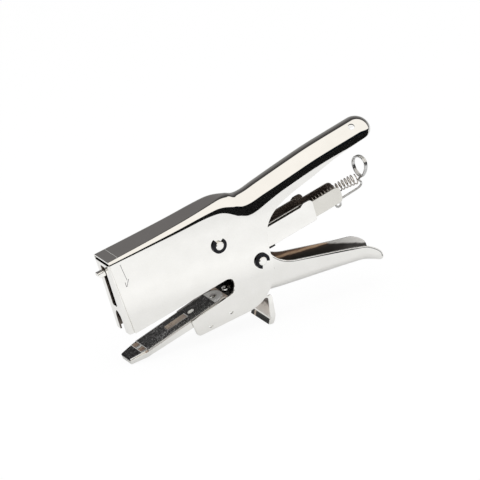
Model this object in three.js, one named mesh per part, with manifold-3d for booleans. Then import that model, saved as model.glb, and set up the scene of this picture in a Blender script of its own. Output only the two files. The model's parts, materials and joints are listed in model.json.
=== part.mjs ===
// Plier stapler: a hand stapling plier with a folded nickel-plated body, a squeezed lower handle, a fixed
// anvil arm and a swinging magazine that is loaded from the rear. Millimetres.
//
// The pieces are drawn in the plier's own frame: +X runs along the magazine from the nose to the handles,
// +Z is square to the magazine, Y = 0 is the plane half way between the two cheeks. The finished group
// stands on the tip of the anvil arm and on the heel foot, as the tool stands on a table, with its origin at
// the middle of its base.
import * as THREE from "three";
import { mergeVertices } from "three/addons/utils/BufferGeometryUtils.js";
import Module from "manifold-3d";

const wasm = await Module();
wasm.setup();

// ---------------------------------------------------------------- driving dimensions

// Sheets nested side by side, from the cheeks inwards
const BODY_WIDTH = 21.2; // over both cheeks
const BODY_SHEET = 1.1;
const SIDE_PLAY = 0.2; // between neighbouring sheets
const HANDLE_SHEET = 1.0;
const LEVER_SHEET = 0.9;
const HOUSING_SHEET = 0.8;
const RAIL_SHEET = 0.8;
const STAPLE_WIRE = 0.6; // a staple's leg hangs between rail and housing
const SEAT_GAP = 0.3; // between pieces that rest on one another

// Head and upper handle
const NOSE_HEIGHT = 52; // top of the head above the magazine's datum, at the nose
const HEAD_BOTTOM = -0.8;
const WAIST_TOP = 43.7;
const HANDLE_TOP = 48.6;
const WAIST_X = 103;
const TIP_CENTRE_X = 187.8; // centre of the ball-shaped end of the handle
const NOSE_CORNER = 2; // bend radius between roof and cheek at the nose
const NECK_CORNER = 5.3; // the same at the end of the head
const LIP_FRONT_X = 37.2; // where the lower lips of the cheeks begin
const THROAT_END_X = 73;
const HANG_HOLE = 4.2;
const HANG_HOLE_FROM_TIP = 3.5; // in front of the ball's centre

// Cross pins and their clips
const PIVOT = { x: 95.2, z: -1.8 };
const FRONT_PIN = { x: 71.9, z: 23.5 };
const PIN_DIAMETER = 5.6;
const PIN_PLAY = 0.08; // radial, in a running hole
const PIN_PROUD = 1.9; // how far each pin stands out of the cheeks
const PIN_HEAD = 9;
const CLIP_DIAMETER = 10.2;
const CLIP_THICKNESS = 0.8;
const CLIP_GROOVE = 4.6;

// Squeeze
const SQUEEZE = THREE.MathUtils.degToRad(15); // travel of the lower handle
const MAGAZINE_SHARE = 0.6; // the magazine turns through this share of it

// Nose: the front guide and the driver lean back a little, so their pieces are drawn in a frame of their own
const NOSE_LEAN = THREE.MathUtils.degToRad(3.13);
const NOSE_FOOT_X = -3.38; // where the face of the guide meets the magazine's datum
const GUIDE_SHEET = 1.1;
const GUIDE_BEND = 2.2; // outer radius of its two folds
const GUIDE_DEPTH = 12; // from its face to the rear edge of its flanges
const GUIDE_SLOT_WIDTH = 5.8;
const GUIDE_ARCH_WIDTH = 7.2;

// Driver and its lever
const LEVER_TIP = { x: 13, z: NOSE_HEIGHT - 16 };
const LEVER_PIN = 3;
const SLOT_PLAY = 0.5; // above and below the lever pin in the driver's slot
const BLADE_THICKNESS = 0.8;
const BLADE_WIDTH = 10.8;
const BLADE_TIP_Z = 8.5;
const TAB_WIDTH = 4; // guide tab: a folded tongue that rides in the guide's slot
const TAB_HEIGHT = 3.5;
const TAB_SHEET = 0.9;
const TAB_REACH = 5.3; // in front of the guide's face
const TAB_TOP = NOSE_HEIGHT - 7.5;

// Lower handle
const GRIP_REAR = { x: 169.5, z: -48.9 }; // lower corner of its rear end
const GRIP_FLARE = 2.2; // each side opens by this much towards the rear
const GRIP_CORNER = 6.5; // outer bend radius under the hand

// Anvil arm
const ARM_TIP_X = -8.4;
const ARM_ROOT_X = 72;
const ARM_TOP_TIP = -17.5; // height of the clinch plate's top at the tip of the arm
const ARM_RISE = 0.081; // the arm climbs towards the throat
const ARM_SHEET = 1.1;
const ARM_DEPTH_TIP = 2.6; // height of its side flanges at the tip
const ARM_DEPTH = 4.4; // and at the lips
const ARM_TIP_WIDTH = 12;
const ARM_KNEE_X = 2.2;
const ARM_KNEE_WIDTH = 18.2;
const CLINCH_SHEET = 1.0;
const CLINCH_MARGIN = 1.3; // edge of the arm left bare beside the clinch plate

// Magazine
const HOUSING_FLOOR = 1.4;
const HOUSING_TOP = 14.8;
const HOUSING_REAR_X = 142;
const RAIL_TOP = 15.9;
const RAIL_REAR_TOP = 13.6; // behind the housing
const RAIL_REAR_X = 163;
const MAGAZINE_NOSE_X = 0.8;
const SPRING_DIAMETER = 6.2;
const SPRING_WIRE = 0.65;
const SPRING_REAR_X = 177.6;
const SPRING_PITCH = 2;
const SPRING_LIFT = 1.4; // its free rear end bows up by this much
const HOOK_WIRE = 1.4;
const FOLLOWER_X = 5.5;
const FOLLOWER_LENGTH = 12;
const CAP_SHEET = 0.9; // the follower's cap on top of the rail

// Heel foot
const HEEL_SHEET = 1.2;
const HEEL_WIDTH = 23.2; // where it flares out at the table
const HEEL = { x: 84.3, z: -44.4 }; // where it touches the table

// ---------------------------------------------------------------- sizes that follow

const BODY_HALF = BODY_WIDTH / 2;
const CHEEK_IN = BODY_HALF - BODY_SHEET;
const HANDLE_OUT = CHEEK_IN - SIDE_PLAY;
const HANDLE_IN = HANDLE_OUT - HANDLE_SHEET;
const LEVER_OUT = HANDLE_IN - SIDE_PLAY;
const LEVER_IN = LEVER_OUT - LEVER_SHEET;
const HOUSING_OUT = LEVER_IN - SIDE_PLAY;
const HOUSING_IN = HOUSING_OUT - HOUSING_SHEET;
const RAIL_OUT = HOUSING_IN - STAPLE_WIRE;
const RAIL_IN = RAIL_OUT - RAIL_SHEET;
const PIN_RADIUS = PIN_DIAMETER / 2;
const PIN_HOLE = PIN_RADIUS + PIN_PLAY;
const TIP_CENTRE_Z = HANDLE_TOP - BODY_HALF;
const RAIL_FLOOR = HOUSING_FLOOR + HOUSING_SHEET + SEAT_GAP;
const SPRING_AXIS_Z = RAIL_FLOOR + RAIL_SHEET + 0.2 + SPRING_DIAMETER / 2;
const BLADE_X = GUIDE_SHEET + SEAT_GAP; // in the nose's frame
const BLOCK_X = BLADE_X + BLADE_THICKNESS + SEAT_GAP;
const BLOCK_HALF = LEVER_IN - 0.6;
const ARM_HALF = CHEEK_IN - SEAT_GAP;

// ---------------------------------------------------------------- finishes

const metal = (color, roughness) => new THREE.MeshStandardMaterial({ color, roughness, metalness: 1 });
const nickel = metal(0xdedbd4, 0.12);
const brushedSteel = metal(0x55585c, 0.35);
const blackSteel = metal(0x1b1c1e, 0.3);
const springSteel = metal(0xb9b6b0, 0.2);

// ---------------------------------------------------------------- tools

// A closed three.js geometry as a manifold-3d solid.
function solid(geometry) {
  geometry.deleteAttribute("normal");
  geometry.deleteAttribute("uv");
  const merged = mergeVertices(geometry, 1e-4);
  return new wasm.Manifold(
    new wasm.Mesh({
      numProp: 3,
      vertProperties: merged.attributes.position.array,
      triVerts: new Uint32Array(merged.index.array),
    }),
  );
}

// A named mesh of a manifold-3d solid.
function piece(name, body, material) {
  const mesh = body.getMesh();
  const geometry = new THREE.BufferGeometry();
  geometry.setAttribute("position", new THREE.BufferAttribute(mesh.vertProperties, 3));
  geometry.setIndex(new THREE.BufferAttribute(mesh.triVerts, 1));
  geometry.computeVertexNormals();
  const made = new THREE.Mesh(geometry, material);
  made.name = name;
  return made;
}

const union = (first, ...rest) => rest.reduce((sum, next) => sum.add(next), first);
const cut = (body, ...tools) => tools.reduce((left, tool) => left.subtract(tool), body);

// A side-view outline [x, z] pushed through the width, from y0 to y1.
function across(shape, y0, y1, curveSegments = 5) {
  const geometry = new THREE.ExtrudeGeometry(shape, { depth: y1 - y0, bevelEnabled: false, curveSegments });
  geometry.rotateX(Math.PI / 2);
  geometry.translate(0, y1, 0);
  return solid(geometry);
}

// The same outline in both side walls of a channel, between two distances from the middle.
const bothWalls = (shape, inner, outer) => union(across(shape, -outer, -inner), across(shape, inner, outer));

// A plan outline [x, y] raised from z0 to z1.
function upright(shape, z0, z1, curveSegments = 5) {
  const geometry = new THREE.ExtrudeGeometry(shape, { depth: z1 - z0, bevelEnabled: false, curveSegments });
  geometry.translate(0, 0, z0);
  return solid(geometry);
}

// A front-view outline [y, z] pushed from x0 to x1.
function lengthways(shape, x0, x1, curveSegments = 5) {
  const geometry = new THREE.ExtrudeGeometry(shape, { depth: x1 - x0, bevelEnabled: false, curveSegments });
  const turn = new THREE.Matrix4().makeBasis(
    new THREE.Vector3(0, 1, 0),
    new THREE.Vector3(0, 0, 1),
    new THREE.Vector3(1, 0, 0),
  );
  geometry.applyMatrix4(turn);
  geometry.translate(x0, 0, 0);
  return solid(geometry);
}

function block(x0, x1, y0, y1, z0, z1) {
  const geometry = new THREE.BoxGeometry(x1 - x0, y1 - y0, z1 - z0);
  geometry.translate((x0 + x1) / 2, (y0 + y1) / 2, (z0 + z1) / 2);
  return solid(geometry);
}

// A straight pin along Y.
function crossPin(at, radius, y0, y1, segments = 32) {
  const geometry = new THREE.CylinderGeometry(radius, radius, y1 - y0, segments);
  geometry.translate(at.x, (y0 + y1) / 2, at.z);
  return solid(geometry);
}

// A turned piece along Y: radii and heights from one end of its axis to the other.
function turned(at, profile, segments = 32) {
  const geometry = new THREE.LatheGeometry(
    profile.map(([radius, y]) => new THREE.Vector2(radius, y)),
    segments,
  );
  geometry.translate(at.x, 0, at.z);
  return solid(geometry);
}

// Round wire along a curve.
function wire(curve, diameter, steps, sides) {
  const section = new THREE.Shape();
  for (let i = 0; i < sides; i++) {
    const angle = (2 * Math.PI * (i + 0.5)) / sides;
    const x = (diameter / 2) * Math.cos(angle);
    const y = (diameter / 2) * Math.sin(angle);
    if (i) section.lineTo(x, y);
    else section.moveTo(x, y);
  }
  section.closePath();
  return solid(new THREE.ExtrudeGeometry(section, { steps, extrudePath: curve, bevelEnabled: false }));
}

// A closed outline through [u, v, rounding] points: rounding is how far before the corner the bend begins.
function outline(points) {
  const shape = new THREE.Shape();
  const towards = (from, to, distance) => {
    const length = Math.hypot(to[0] - from[0], to[1] - from[1]);
    const share = Math.min(distance / length, 0.5);
    return [from[0] + (to[0] - from[0]) * share, from[1] + (to[1] - from[1]) * share];
  };
  points.forEach((point, i) => {
    const before = points[(i + points.length - 1) % points.length];
    const after = points[(i + 1) % points.length];
    const start = point[2] ? towards(point, before, point[2]) : point;
    if (i) shape.lineTo(start[0], start[1]);
    else shape.moveTo(start[0], start[1]);
    if (point[2]) {
      const end = towards(point, after, point[2]);
      shape.quadraticCurveTo(point[0], point[1], end[0], end[1]);
    }
  });
  shape.closePath();
  return shape;
}

const rectangle = (u0, u1, v0, v1, round = 0) =>
  outline([
    [u0, v0, round],
    [u1, v0, round],
    [u1, v1, round],
    [u0, v1, round],
  ]);

function disc(u, v, radius) {
  const shape = new THREE.Shape();
  shape.absarc(u, v, radius, 0, 2 * Math.PI, false);
  return shape;
}

// A strip of constant thickness along a bent centre line, in side view.
function ribbon(points, thickness) {
  const side = (sign) =>
    points.map(([x, z], i) => {
      const [x0, z0] = points[Math.max(i - 1, 0)];
      const [x1, z1] = points[Math.min(i + 1, points.length - 1)];
      const length = Math.hypot(x1 - x0, z1 - z0);
      const push = (sign * thickness) / 2 / length;
      return [x - (z1 - z0) * push, z + (x1 - x0) * push];
    });
  return outline([...side(-1), ...side(1).reverse()]);
}

// Smooth height through [x, value] knots.
function through(knots) {
  const slope = (i) => {
    const a = knots[Math.max(i - 1, 0)];
    const b = knots[Math.min(i + 1, knots.length - 1)];
    return (b[1] - a[1]) / (b[0] - a[0]);
  };
  return (x) => {
    if (x <= knots[0][0]) return knots[0][1] + slope(0) * (x - knots[0][0]);
    const last = knots.length - 1;
    if (x >= knots[last][0]) return knots[last][1] + slope(last) * (x - knots[last][0]);
    const i = knots.findIndex((knot) => knot[0] > x) - 1;
    const span = knots[i + 1][0] - knots[i][0];
    const t = (x - knots[i][0]) / span;
    const h = 3 * t * t - 2 * t * t * t;
    return (
      knots[i][1] * (1 - h) +
      knots[i + 1][1] * h +
      slope(i) * span * t * (1 - t) * (1 - t) -
      slope(i + 1) * span * t * t * (1 - t)
    );
  };
}

// A skin over convex rings of equal length, one ring of [y, z] at each station x, closed at both ends.
function loft(rings) {
  const count = rings[0].points.length;
  const positions = rings.flatMap((ring) => ring.points.flatMap(([y, z]) => [ring.x, y, z]));
  const index = [];
  for (let r = 0; r < rings.length - 1; r++)
    for (let i = 0; i < count; i++) {
      const a = r * count + i;
      const b = r * count + ((i + 1) % count);
      index.push(a, b, a + count, b, b + count, a + count);
    }
  const top = (rings.length - 1) * count;
  for (let i = 1; i < count - 1; i++) index.push(0, i + 1, i, top, top + i, top + i + 1);
  const geometry = new THREE.BufferGeometry();
  geometry.setAttribute("position", new THREE.Float32BufferAttribute(positions, 3));
  geometry.setIndex(index);
  const body = solid(geometry);
  return body.volume() > 0 ? body : flipped(geometry);
}

function flipped(geometry) {
  const index = geometry.index.array;
  for (let i = 0; i < index.length; i += 3) [index[i + 1], index[i + 2]] = [index[i + 2], index[i + 1]];
  return solid(geometry);
}

// Section of a channel whose closed side has two round corners: `closed` is the height of the closed side
// and `open` that of the open side.
function channelSection(half, closed, open, corner, steps = 6) {
  const sign = Math.sign(closed - open);
  const points = [[-half, open]];
  for (const side of [-1, 1])
    for (let i = 0; i <= steps; i++) {
      const angle = ((side < 0 ? i : steps - i) / steps) * (Math.PI / 2);
      points.push([
        side * (half - corner + corner * Math.cos(angle)),
        closed - sign * corner * (1 - Math.sin(angle)),
      ]);
    }
  points.push([half, open]);
  return points;
}

// Section of the folded body: its bends start on a wide radius at the cheeks and tighten towards the roof.
// `corner` is how far a bend reaches in from the cheek.
function bodySection(half, top, open, corner) {
  const change = THREE.MathUtils.degToRad(18);
  const tight = corner * 0.978;
  const wide = tight * 1.45;
  const start = top - tight * (1 - Math.sin(change)) - wide * Math.sin(change);
  const bend = [0, 0.5].map((share) => [
    half - wide * (1 - Math.cos(change * share)),
    start + wide * Math.sin(change * share),
  ]);
  const steps = 6;
  for (let i = 0; i <= steps; i++) {
    const angle = change + ((Math.PI / 2 - change) * i) / steps;
    bend.push([half - corner + tight * Math.cos(angle), top - tight * (1 - Math.sin(angle))]);
  }
  const mirrored = bend.map(([y, z]) => [-y, z]);
  return [[-half, open], ...mirrored, ...bend.reverse(), [half, open]];
}

const stations = (from, to, step) => {
  const count = Math.max(1, Math.round((to - from) / step));
  return Array.from({ length: count }, (_, i) => from + ((to - from) * i) / count);
};

// ---------------------------------------------------------------- head and upper handle

const roofLine = through([
  [0, NOSE_HEIGHT],
  [30, NOSE_HEIGHT - 1.4],
  [55, NOSE_HEIGHT - 2.2],
  [79, NOSE_HEIGHT - 2.4],
  [86, NOSE_HEIGHT - 3],
  [92, (NOSE_HEIGHT + WAIST_TOP) / 2 - 0.6],
  [97, WAIST_TOP + 0.8],
  [WAIST_X, WAIST_TOP],
  [112, WAIST_TOP + 0.9],
  [136, HANDLE_TOP - 1.9],
  [155, HANDLE_TOP - 0.6],
  [TIP_CENTRE_X, HANDLE_TOP],
]);
const roofCorner = through([
  [0, NOSE_CORNER],
  [44, (NOSE_CORNER + NECK_CORNER) / 2 - 0.2],
  [79, NECK_CORNER],
  [91, BODY_HALF],
]);

function bodySolid(inset) {
  const half = BODY_HALF - inset;
  const depth = -60;
  const ring = (x, width, top, corner) => ({ x, points: bodySection(width, top, depth, corner) });
  const straight = [...stations(-2, 78, 8), ...stations(78, 106, 2), ...stations(106, TIP_CENTRE_X, 6)];
  const rings = straight.map((x) => {
    const corner = x < 91 ? roofCorner(x) : BODY_HALF;
    return ring(x, half, roofLine(x) - inset, THREE.MathUtils.clamp(corner - inset, 0.6, half * 0.999));
  });
  const domeSteps = 7;
  for (let i = 0; i <= domeSteps; i++) {
    const angle = (i / domeSteps) * THREE.MathUtils.degToRad(87);
    const width = half * Math.cos(angle);
    rings.push(ring(TIP_CENTRE_X + half * Math.sin(angle), width, TIP_CENTRE_Z + width, width * 0.999));
  }
  return loft(rings);
}

// The cheeks' outline seen from the side: head, handle underside, rear edge, lower lips and throat.
function bodyOutline() {
  const above = 70;
  const beyond = TIP_CENTRE_X + BODY_HALF + 4;
  const shape = new THREE.Shape();
  shape.moveTo(0, HEAD_BOTTOM);
  shape.lineTo(0, above);
  shape.lineTo(beyond, above);
  shape.lineTo(beyond, TIP_CENTRE_Z + 6);
  shape.lineTo(TIP_CENTRE_X + BODY_HALF, TIP_CENTRE_Z + 5);
  const rear = TIP_CENTRE_X + BODY_HALF;
  shape.quadraticCurveTo(rear - 0.6, TIP_CENTRE_Z + 0.4, rear - 6, TIP_CENTRE_Z - 0.8);
  shape.splineThru([
    new THREE.Vector2(169, 35.6),
    new THREE.Vector2(146, 31.8),
    new THREE.Vector2(128, 29),
    new THREE.Vector2(115.5, 25),
    new THREE.Vector2(107.2, 18),
    new THREE.Vector2(103.2, 7),
    new THREE.Vector2(102.3, -4),
  ]);
  shape.splineThru([
    new THREE.Vector2(101.2, -11),
    new THREE.Vector2(98.4, -17),
    new THREE.Vector2(93.4, -23),
    new THREE.Vector2(85.6, -27.8),
    new THREE.Vector2(77, -29.3),
  ]);
  shape.lineTo(LIP_FRONT_X + 3.2, -26.3);
  shape.quadraticCurveTo(LIP_FRONT_X + 0.8, -26.2, LIP_FRONT_X + 0.4, -23.6);
  shape.lineTo(LIP_FRONT_X, throatFloor(LIP_FRONT_X) - 1);
  shape.quadraticCurveTo(LIP_FRONT_X, throatFloor(LIP_FRONT_X), LIP_FRONT_X + 1, throatFloor(LIP_FRONT_X));
  shape.lineTo(THROAT_END_X - 4.5, throatFloor(THROAT_END_X - 4.5));
  const floor = throatFloor(THROAT_END_X);
  shape.bezierCurveTo(THROAT_END_X - 0.5, floor, THROAT_END_X + 0.6, -4, THROAT_END_X - 1, -2.4);
  shape.quadraticCurveTo(THROAT_END_X - 2.5, HEAD_BOTTOM + 0.1, THROAT_END_X - 5.5, HEAD_BOTTOM);
  shape.closePath();
  return shape;
}

// Top edge of the lower lips, which the anvil arm just clears.
function throatFloor(x) {
  return clinchTop(x) - 0.5;
}

// Height of the clinch plate's top along the arm.
function clinchTop(x) {
  return ARM_TOP_TIP + ARM_RISE * (x - ARM_TIP_X);
}

// A small half-moon lance pressed through a lip: the slit under it.
function lance(x, z) {
  const shape = new THREE.Shape();
  const radius = 1.65;
  shape.absarc(x, z, radius, Math.PI, 2 * Math.PI, false);
  shape.absarc(x, z + 0.15, radius - 0.65, 2 * Math.PI, Math.PI, true);
  shape.closePath();
  return across(shape, -BODY_HALF - 1, BODY_HALF + 1, 4);
}

// Holes square to the round back of the handle, one on each shoulder.
function hangHoles() {
  const lean = THREE.MathUtils.degToRad(28);
  return [-1, 1].map((side) => {
    const geometry = new THREE.CylinderGeometry(HANG_HOLE / 2, HANG_HOLE / 2, 8, 20);
    geometry.rotateX(Math.PI / 2);
    geometry.rotateX(Math.PI / 2);
    geometry.translate(0, BODY_HALF, 0);
    geometry.rotateX(Math.PI / 2 + side * lean);
    geometry.translate(TIP_CENTRE_X - HANG_HOLE_FROM_TIP, 0, TIP_CENTRE_Z);
    return solid(geometry);
  });
}

function bodyShell() {
  const sheet = cut(bodySolid(0), bodySolid(BODY_SHEET));
  const trimmed = sheet.intersect(across(bodyOutline(), -BODY_HALF - 1, BODY_HALF + 1, 5));
  const pinHoles = [PIVOT, FRONT_PIN].map((at) => crossPin(at, PIN_HOLE, -BODY_HALF - 1, BODY_HALF + 1));
  return cut(trimmed, ...pinHoles, ...hangHoles(), lance(48.2, -23.4), lance(64, -22.4));
}

// ---------------------------------------------------------------- nose

// A point of the plier's frame in the nose's frame.
const toNose = ({ x, z }) => ({
  x: (x - NOSE_FOOT_X) * Math.cos(NOSE_LEAN) - z * Math.sin(NOSE_LEAN),
  z: (x - NOSE_FOOT_X) * Math.sin(NOSE_LEAN) + z * Math.cos(NOSE_LEAN),
});

// Where the lever's tip pin comes to when the handle is fully squeezed.
const tipEnd = {
  x: PIVOT.x + (LEVER_TIP.x - PIVOT.x) * Math.cos(SQUEEZE) - (LEVER_TIP.z - PIVOT.z) * Math.sin(SQUEEZE),
  z: PIVOT.z + (LEVER_TIP.x - PIVOT.x) * Math.sin(SQUEEZE) + (LEVER_TIP.z - PIVOT.z) * Math.cos(SQUEEZE),
};
const pinRest = toNose(LEVER_TIP);
const pinEnd = toNose(tipEnd);
const driverTravel = pinRest.z - pinEnd.z;
const tabLow = TAB_TOP - TAB_HEIGHT;

const guideTop = NOSE_HEIGHT - BODY_SHEET - 1.4;
const guideBottom = HEAD_BOTTOM + SEAT_GAP;
const guideSlot = { half: GUIDE_SLOT_WIDTH / 2, bottom: tabLow - driverTravel - 0.3, top: TAB_TOP + 2.5 };

// A channel folded round the nose, open towards the handles, with a slot for the guide tab and an arch over
// the staple's way out.
function frontGuide() {
  const half = HANDLE_OUT;
  const inner = half - HANDLE_SHEET;
  const plan = outline([
    [GUIDE_DEPTH, -half],
    [0, -half, GUIDE_BEND],
    [0, half, GUIDE_BEND],
    [GUIDE_DEPTH, half],
    [GUIDE_DEPTH, inner],
    [GUIDE_SHEET, inner, GUIDE_BEND - GUIDE_SHEET],
    [GUIDE_SHEET, -inner, GUIDE_BEND - GUIDE_SHEET],
    [GUIDE_DEPTH, -inner],
  ]);
  const side = outline([
    [-1, guideBottom],
    [GUIDE_DEPTH - 2, guideBottom, 2],
    [GUIDE_DEPTH, 20, 2],
    [GUIDE_DEPTH, guideTop - 1, 2],
    [GUIDE_BEND, guideTop - 1],
    [GUIDE_BEND, guideTop],
    [-1, guideTop],
  ]);
  const front = outline([
    [-half, guideBottom],
    [half, guideBottom],
    [half, guideTop, 1],
    [-half, guideTop, 1],
  ]);
  const slot = rectangle(-guideSlot.half, guideSlot.half, guideSlot.bottom, guideSlot.top, 1.2);
  const archHalf = GUIDE_ARCH_WIDTH / 2;
  const archTop = guideSlot.bottom - 3.2;
  const arch = new THREE.Shape();
  arch.moveTo(-archHalf, guideBottom - 1);
  arch.lineTo(archHalf, guideBottom - 1);
  arch.lineTo(archHalf, archTop * 0.45);
  arch.quadraticCurveTo(archHalf, archTop - 1.6, 0, archTop);
  arch.quadraticCurveTo(-archHalf, archTop - 1.6, -archHalf, archTop * 0.45);
  arch.closePath();
  const folded = upright(plan, guideBottom - 1, guideTop + 1)
    .intersect(across(side, -half - 1, half + 1))
    .intersect(lengthways(front, -1, GUIDE_DEPTH + 1));
  return cut(folded, lengthways(slot, -1, 4), lengthways(arch, -1, 4));
}

// ---------------------------------------------------------------- driver

const slotHalf = LEVER_PIN / 2 + SLOT_PLAY;
const slotFront = pinEnd.x - LEVER_PIN / 2 - 0.2;
const slotRear = pinRest.x + LEVER_PIN / 2 + 0.2;

function driverBlock() {
  const low = pinRest.z - slotHalf - 2;
  const high = pinRest.z + slotHalf + 2;
  const profile = outline([
    [BLOCK_X, low],
    [slotRear + 2, low, 1],
    [slotRear + 2, high, 1],
    [BLOCK_X + 4, high, 1],
    [BLOCK_X + 4, TAB_TOP + 2, 1],
    [BLOCK_X, TAB_TOP + 2],
  ]);
  const slot = rectangle(slotFront, slotRear, pinRest.z - slotHalf, pinRest.z + slotHalf, slotHalf * 0.8);
  return cut(across(profile, -BLOCK_HALF, BLOCK_HALF), across(slot, -BLOCK_HALF - 1, BLOCK_HALF + 1));
}

const carrierLow = tabLow - 2;

function driverBlade() {
  const half = BLADE_WIDTH / 2;
  const blade = rectangle(-half, half, BLADE_TIP_Z, carrierLow - 0.4);
  return lengthways(blade, BLADE_X, BLADE_X + BLADE_THICKNESS);
}

// An upside-down U that stands out through the slot, and the plate behind the slot that carries it.
function guideTab() {
  const half = TAB_WIDTH / 2;
  const section = outline([
    [-half, tabLow - 1],
    [-half, TAB_TOP, TAB_SHEET],
    [half, TAB_TOP, TAB_SHEET],
    [half, tabLow - 1],
    [half - TAB_SHEET, tabLow - 1],
    [half - TAB_SHEET, TAB_TOP - TAB_SHEET, 0.3],
    [TAB_SHEET - half, TAB_TOP - TAB_SHEET, 0.3],
    [TAB_SHEET - half, tabLow - 1],
  ]);
  const side = outline([
    [-TAB_REACH, TAB_TOP + 1],
    [BLADE_X + 0.2, TAB_TOP + 1],
    [BLADE_X + 0.2, tabLow],
    [-TAB_REACH, tabLow, TAB_HEIGHT * 0.6],
  ]);
  const bar = lengthways(section, -TAB_REACH - 1, BLADE_X + 1);
  const tongue = bar.intersect(across(side, -half - 1, half + 1));
  const carrier = rectangle(-half * 2.25, half * 2.25, carrierLow, TAB_TOP + 3, 1);
  return union(lengthways(carrier, BLADE_X, BLADE_X + BLADE_THICKNESS), tongue);
}

// ---------------------------------------------------------------- lower handle and driver lever

const RIVETS = [
  { x: PIVOT.x + 4.6, z: PIVOT.z - 9.4 },
  { x: PIVOT.x - 2.6, z: PIVOT.z - 12.4 },
];
const RIVET_RADIUS = 2;

const gripBottom = through([
  [PIVOT.x - 9.2, PIVOT.z - 21.4],
  [PIVOT.x + 1.2, PIVOT.z - 24.8],
  [GRIP_REAR.x - 58.8, GRIP_REAR.z + 18.6],
  [GRIP_REAR.x - 25.2, GRIP_REAR.z + 10.8],
  [GRIP_REAR.x - 13.9, GRIP_REAR.z + 8.2],
  [GRIP_REAR.x - 8.3, GRIP_REAR.z + 6.9],
  [GRIP_REAR.x - 3.3, GRIP_REAR.z + 4.4],
  [GRIP_REAR.x + 1.5, GRIP_REAR.z + 1.4],
  [GRIP_REAR.x + 7.5, GRIP_REAR.z - 2.4],
]);
const gripHalf = through([
  [PIVOT.x, HANDLE_OUT],
  [GRIP_REAR.x - 30, HANDLE_OUT],
  [GRIP_REAR.x - 16, HANDLE_OUT + GRIP_FLARE * 0.14],
  [GRIP_REAR.x - 5, HANDLE_OUT + GRIP_FLARE * 0.6],
  [GRIP_REAR.x + 6, HANDLE_OUT + GRIP_FLARE],
]);

function handleSolid(inset) {
  const above = 30;
  const xs = [...stations(84, 150, 8), ...stations(150, 180, 4)];
  return loft(
    xs.map((x) => ({
      x,
      points: channelSection(gripHalf(x) - inset, gripBottom(x) + inset, above, GRIP_CORNER - inset, 5),
    })),
  );
}

function handleOutline() {
  const boss = 7.6;
  const { x: rearX, z: rearZ } = GRIP_REAR;
  const shape = new THREE.Shape();
  shape.moveTo(PIVOT.x - 3.8, rearZ - 20);
  shape.lineTo(rearX, rearZ - 20);
  shape.lineTo(rearX, rearZ);
  shape.bezierCurveTo(rearX + 4.5, rearZ + 2.4, rearX + 4.9, rearZ + 7.4, rearX + 2.3, rearZ + 10.7);
  shape.bezierCurveTo(rearX, rearZ + 13.9, rearX - 3.5, rearZ + 16.9, rearX - 8, rearZ + 18.3);
  shape.lineTo(PIVOT.x + 24.3, PIVOT.z - 13.8);
  shape.bezierCurveTo(PIVOT.x + 17.3, PIVOT.z - 11.5, PIVOT.x + 11.3, PIVOT.z - 7.7, PIVOT.x + boss, PIVOT.z);
  shape.absarc(PIVOT.x, PIVOT.z, boss, 0, Math.PI, false);
  shape.lineTo(PIVOT.x - 6.8, PIVOT.z - 12.2);
  shape.quadraticCurveTo(PIVOT.x - 6.4, PIVOT.z - 18.2, PIVOT.x - 3.8, PIVOT.z - 21.2);
  shape.closePath();
  return shape;
}

function lowerHandle() {
  const channel = cut(handleSolid(0), handleSolid(HANDLE_SHEET));
  const trimmed = channel.intersect(across(handleOutline(), -14, 14));
  const rivetHoles = RIVETS.map((at) => crossPin(at, RIVET_RADIUS + 0.04, -14, 14, 24));
  return cut(trimmed, crossPin(PIVOT, PIN_HOLE, -14, 14), ...rivetHoles);
}

// Upper edge of the lever's arms, a straight line down from the tip.
const leverEdge = (x) => LEVER_TIP.z + 3.6 - 0.43 * (x - LEVER_TIP.x);

function driverLever() {
  const tip = 3.5;
  const arm = outline([
    [LEVER_TIP.x - tip, LEVER_TIP.z - tip, 2.6],
    [LEVER_TIP.x - tip, LEVER_TIP.z + 3.6, 2.6],
    [LEVER_TIP.x + 1, leverEdge(LEVER_TIP.x + 1), 1],
    [60, leverEdge(60), 6],
    [PIVOT.x - 6, PIVOT.z + 7.6, 5],
    [PIVOT.x + 7.4, PIVOT.z + 7.4, 6],
    [PIVOT.x + 7.4, PIVOT.z - 6, 3],
    [RIVETS[0].x + 2.8, RIVETS[0].z - 3.4, 2.6],
    [RIVETS[1].x - 0.4, RIVETS[1].z - 3.6, 3],
    [PIVOT.x - 7, PIVOT.z - 8, 4],
    [60, 7.5, 8],
    [LEVER_TIP.x + 4, LEVER_TIP.z - tip - 1.2, 3],
  ]);
  const webFrom = 26;
  const webTo = 50;
  const web = outline([
    [webFrom, leverEdge(webFrom) - LEVER_SHEET * 1.1],
    [webTo, leverEdge(webTo) - LEVER_SHEET * 1.1],
    [webTo, leverEdge(webTo)],
    [webFrom, leverEdge(webFrom)],
  ]);
  const rivetHoles = RIVETS.map((at) => crossPin(at, RIVET_RADIUS + 0.04, -10, 10, 24));
  return cut(
    union(bothWalls(arm, LEVER_IN, LEVER_OUT), across(web, -LEVER_IN - 0.1, LEVER_IN + 0.1)),
    crossPin(PIVOT, PIN_HOLE, -10, 10),
    crossPin(LEVER_TIP, LEVER_PIN / 2 + 0.04, -10, 10, 24),
    ...rivetHoles,
  );
}

// ---------------------------------------------------------------- magazine

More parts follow.
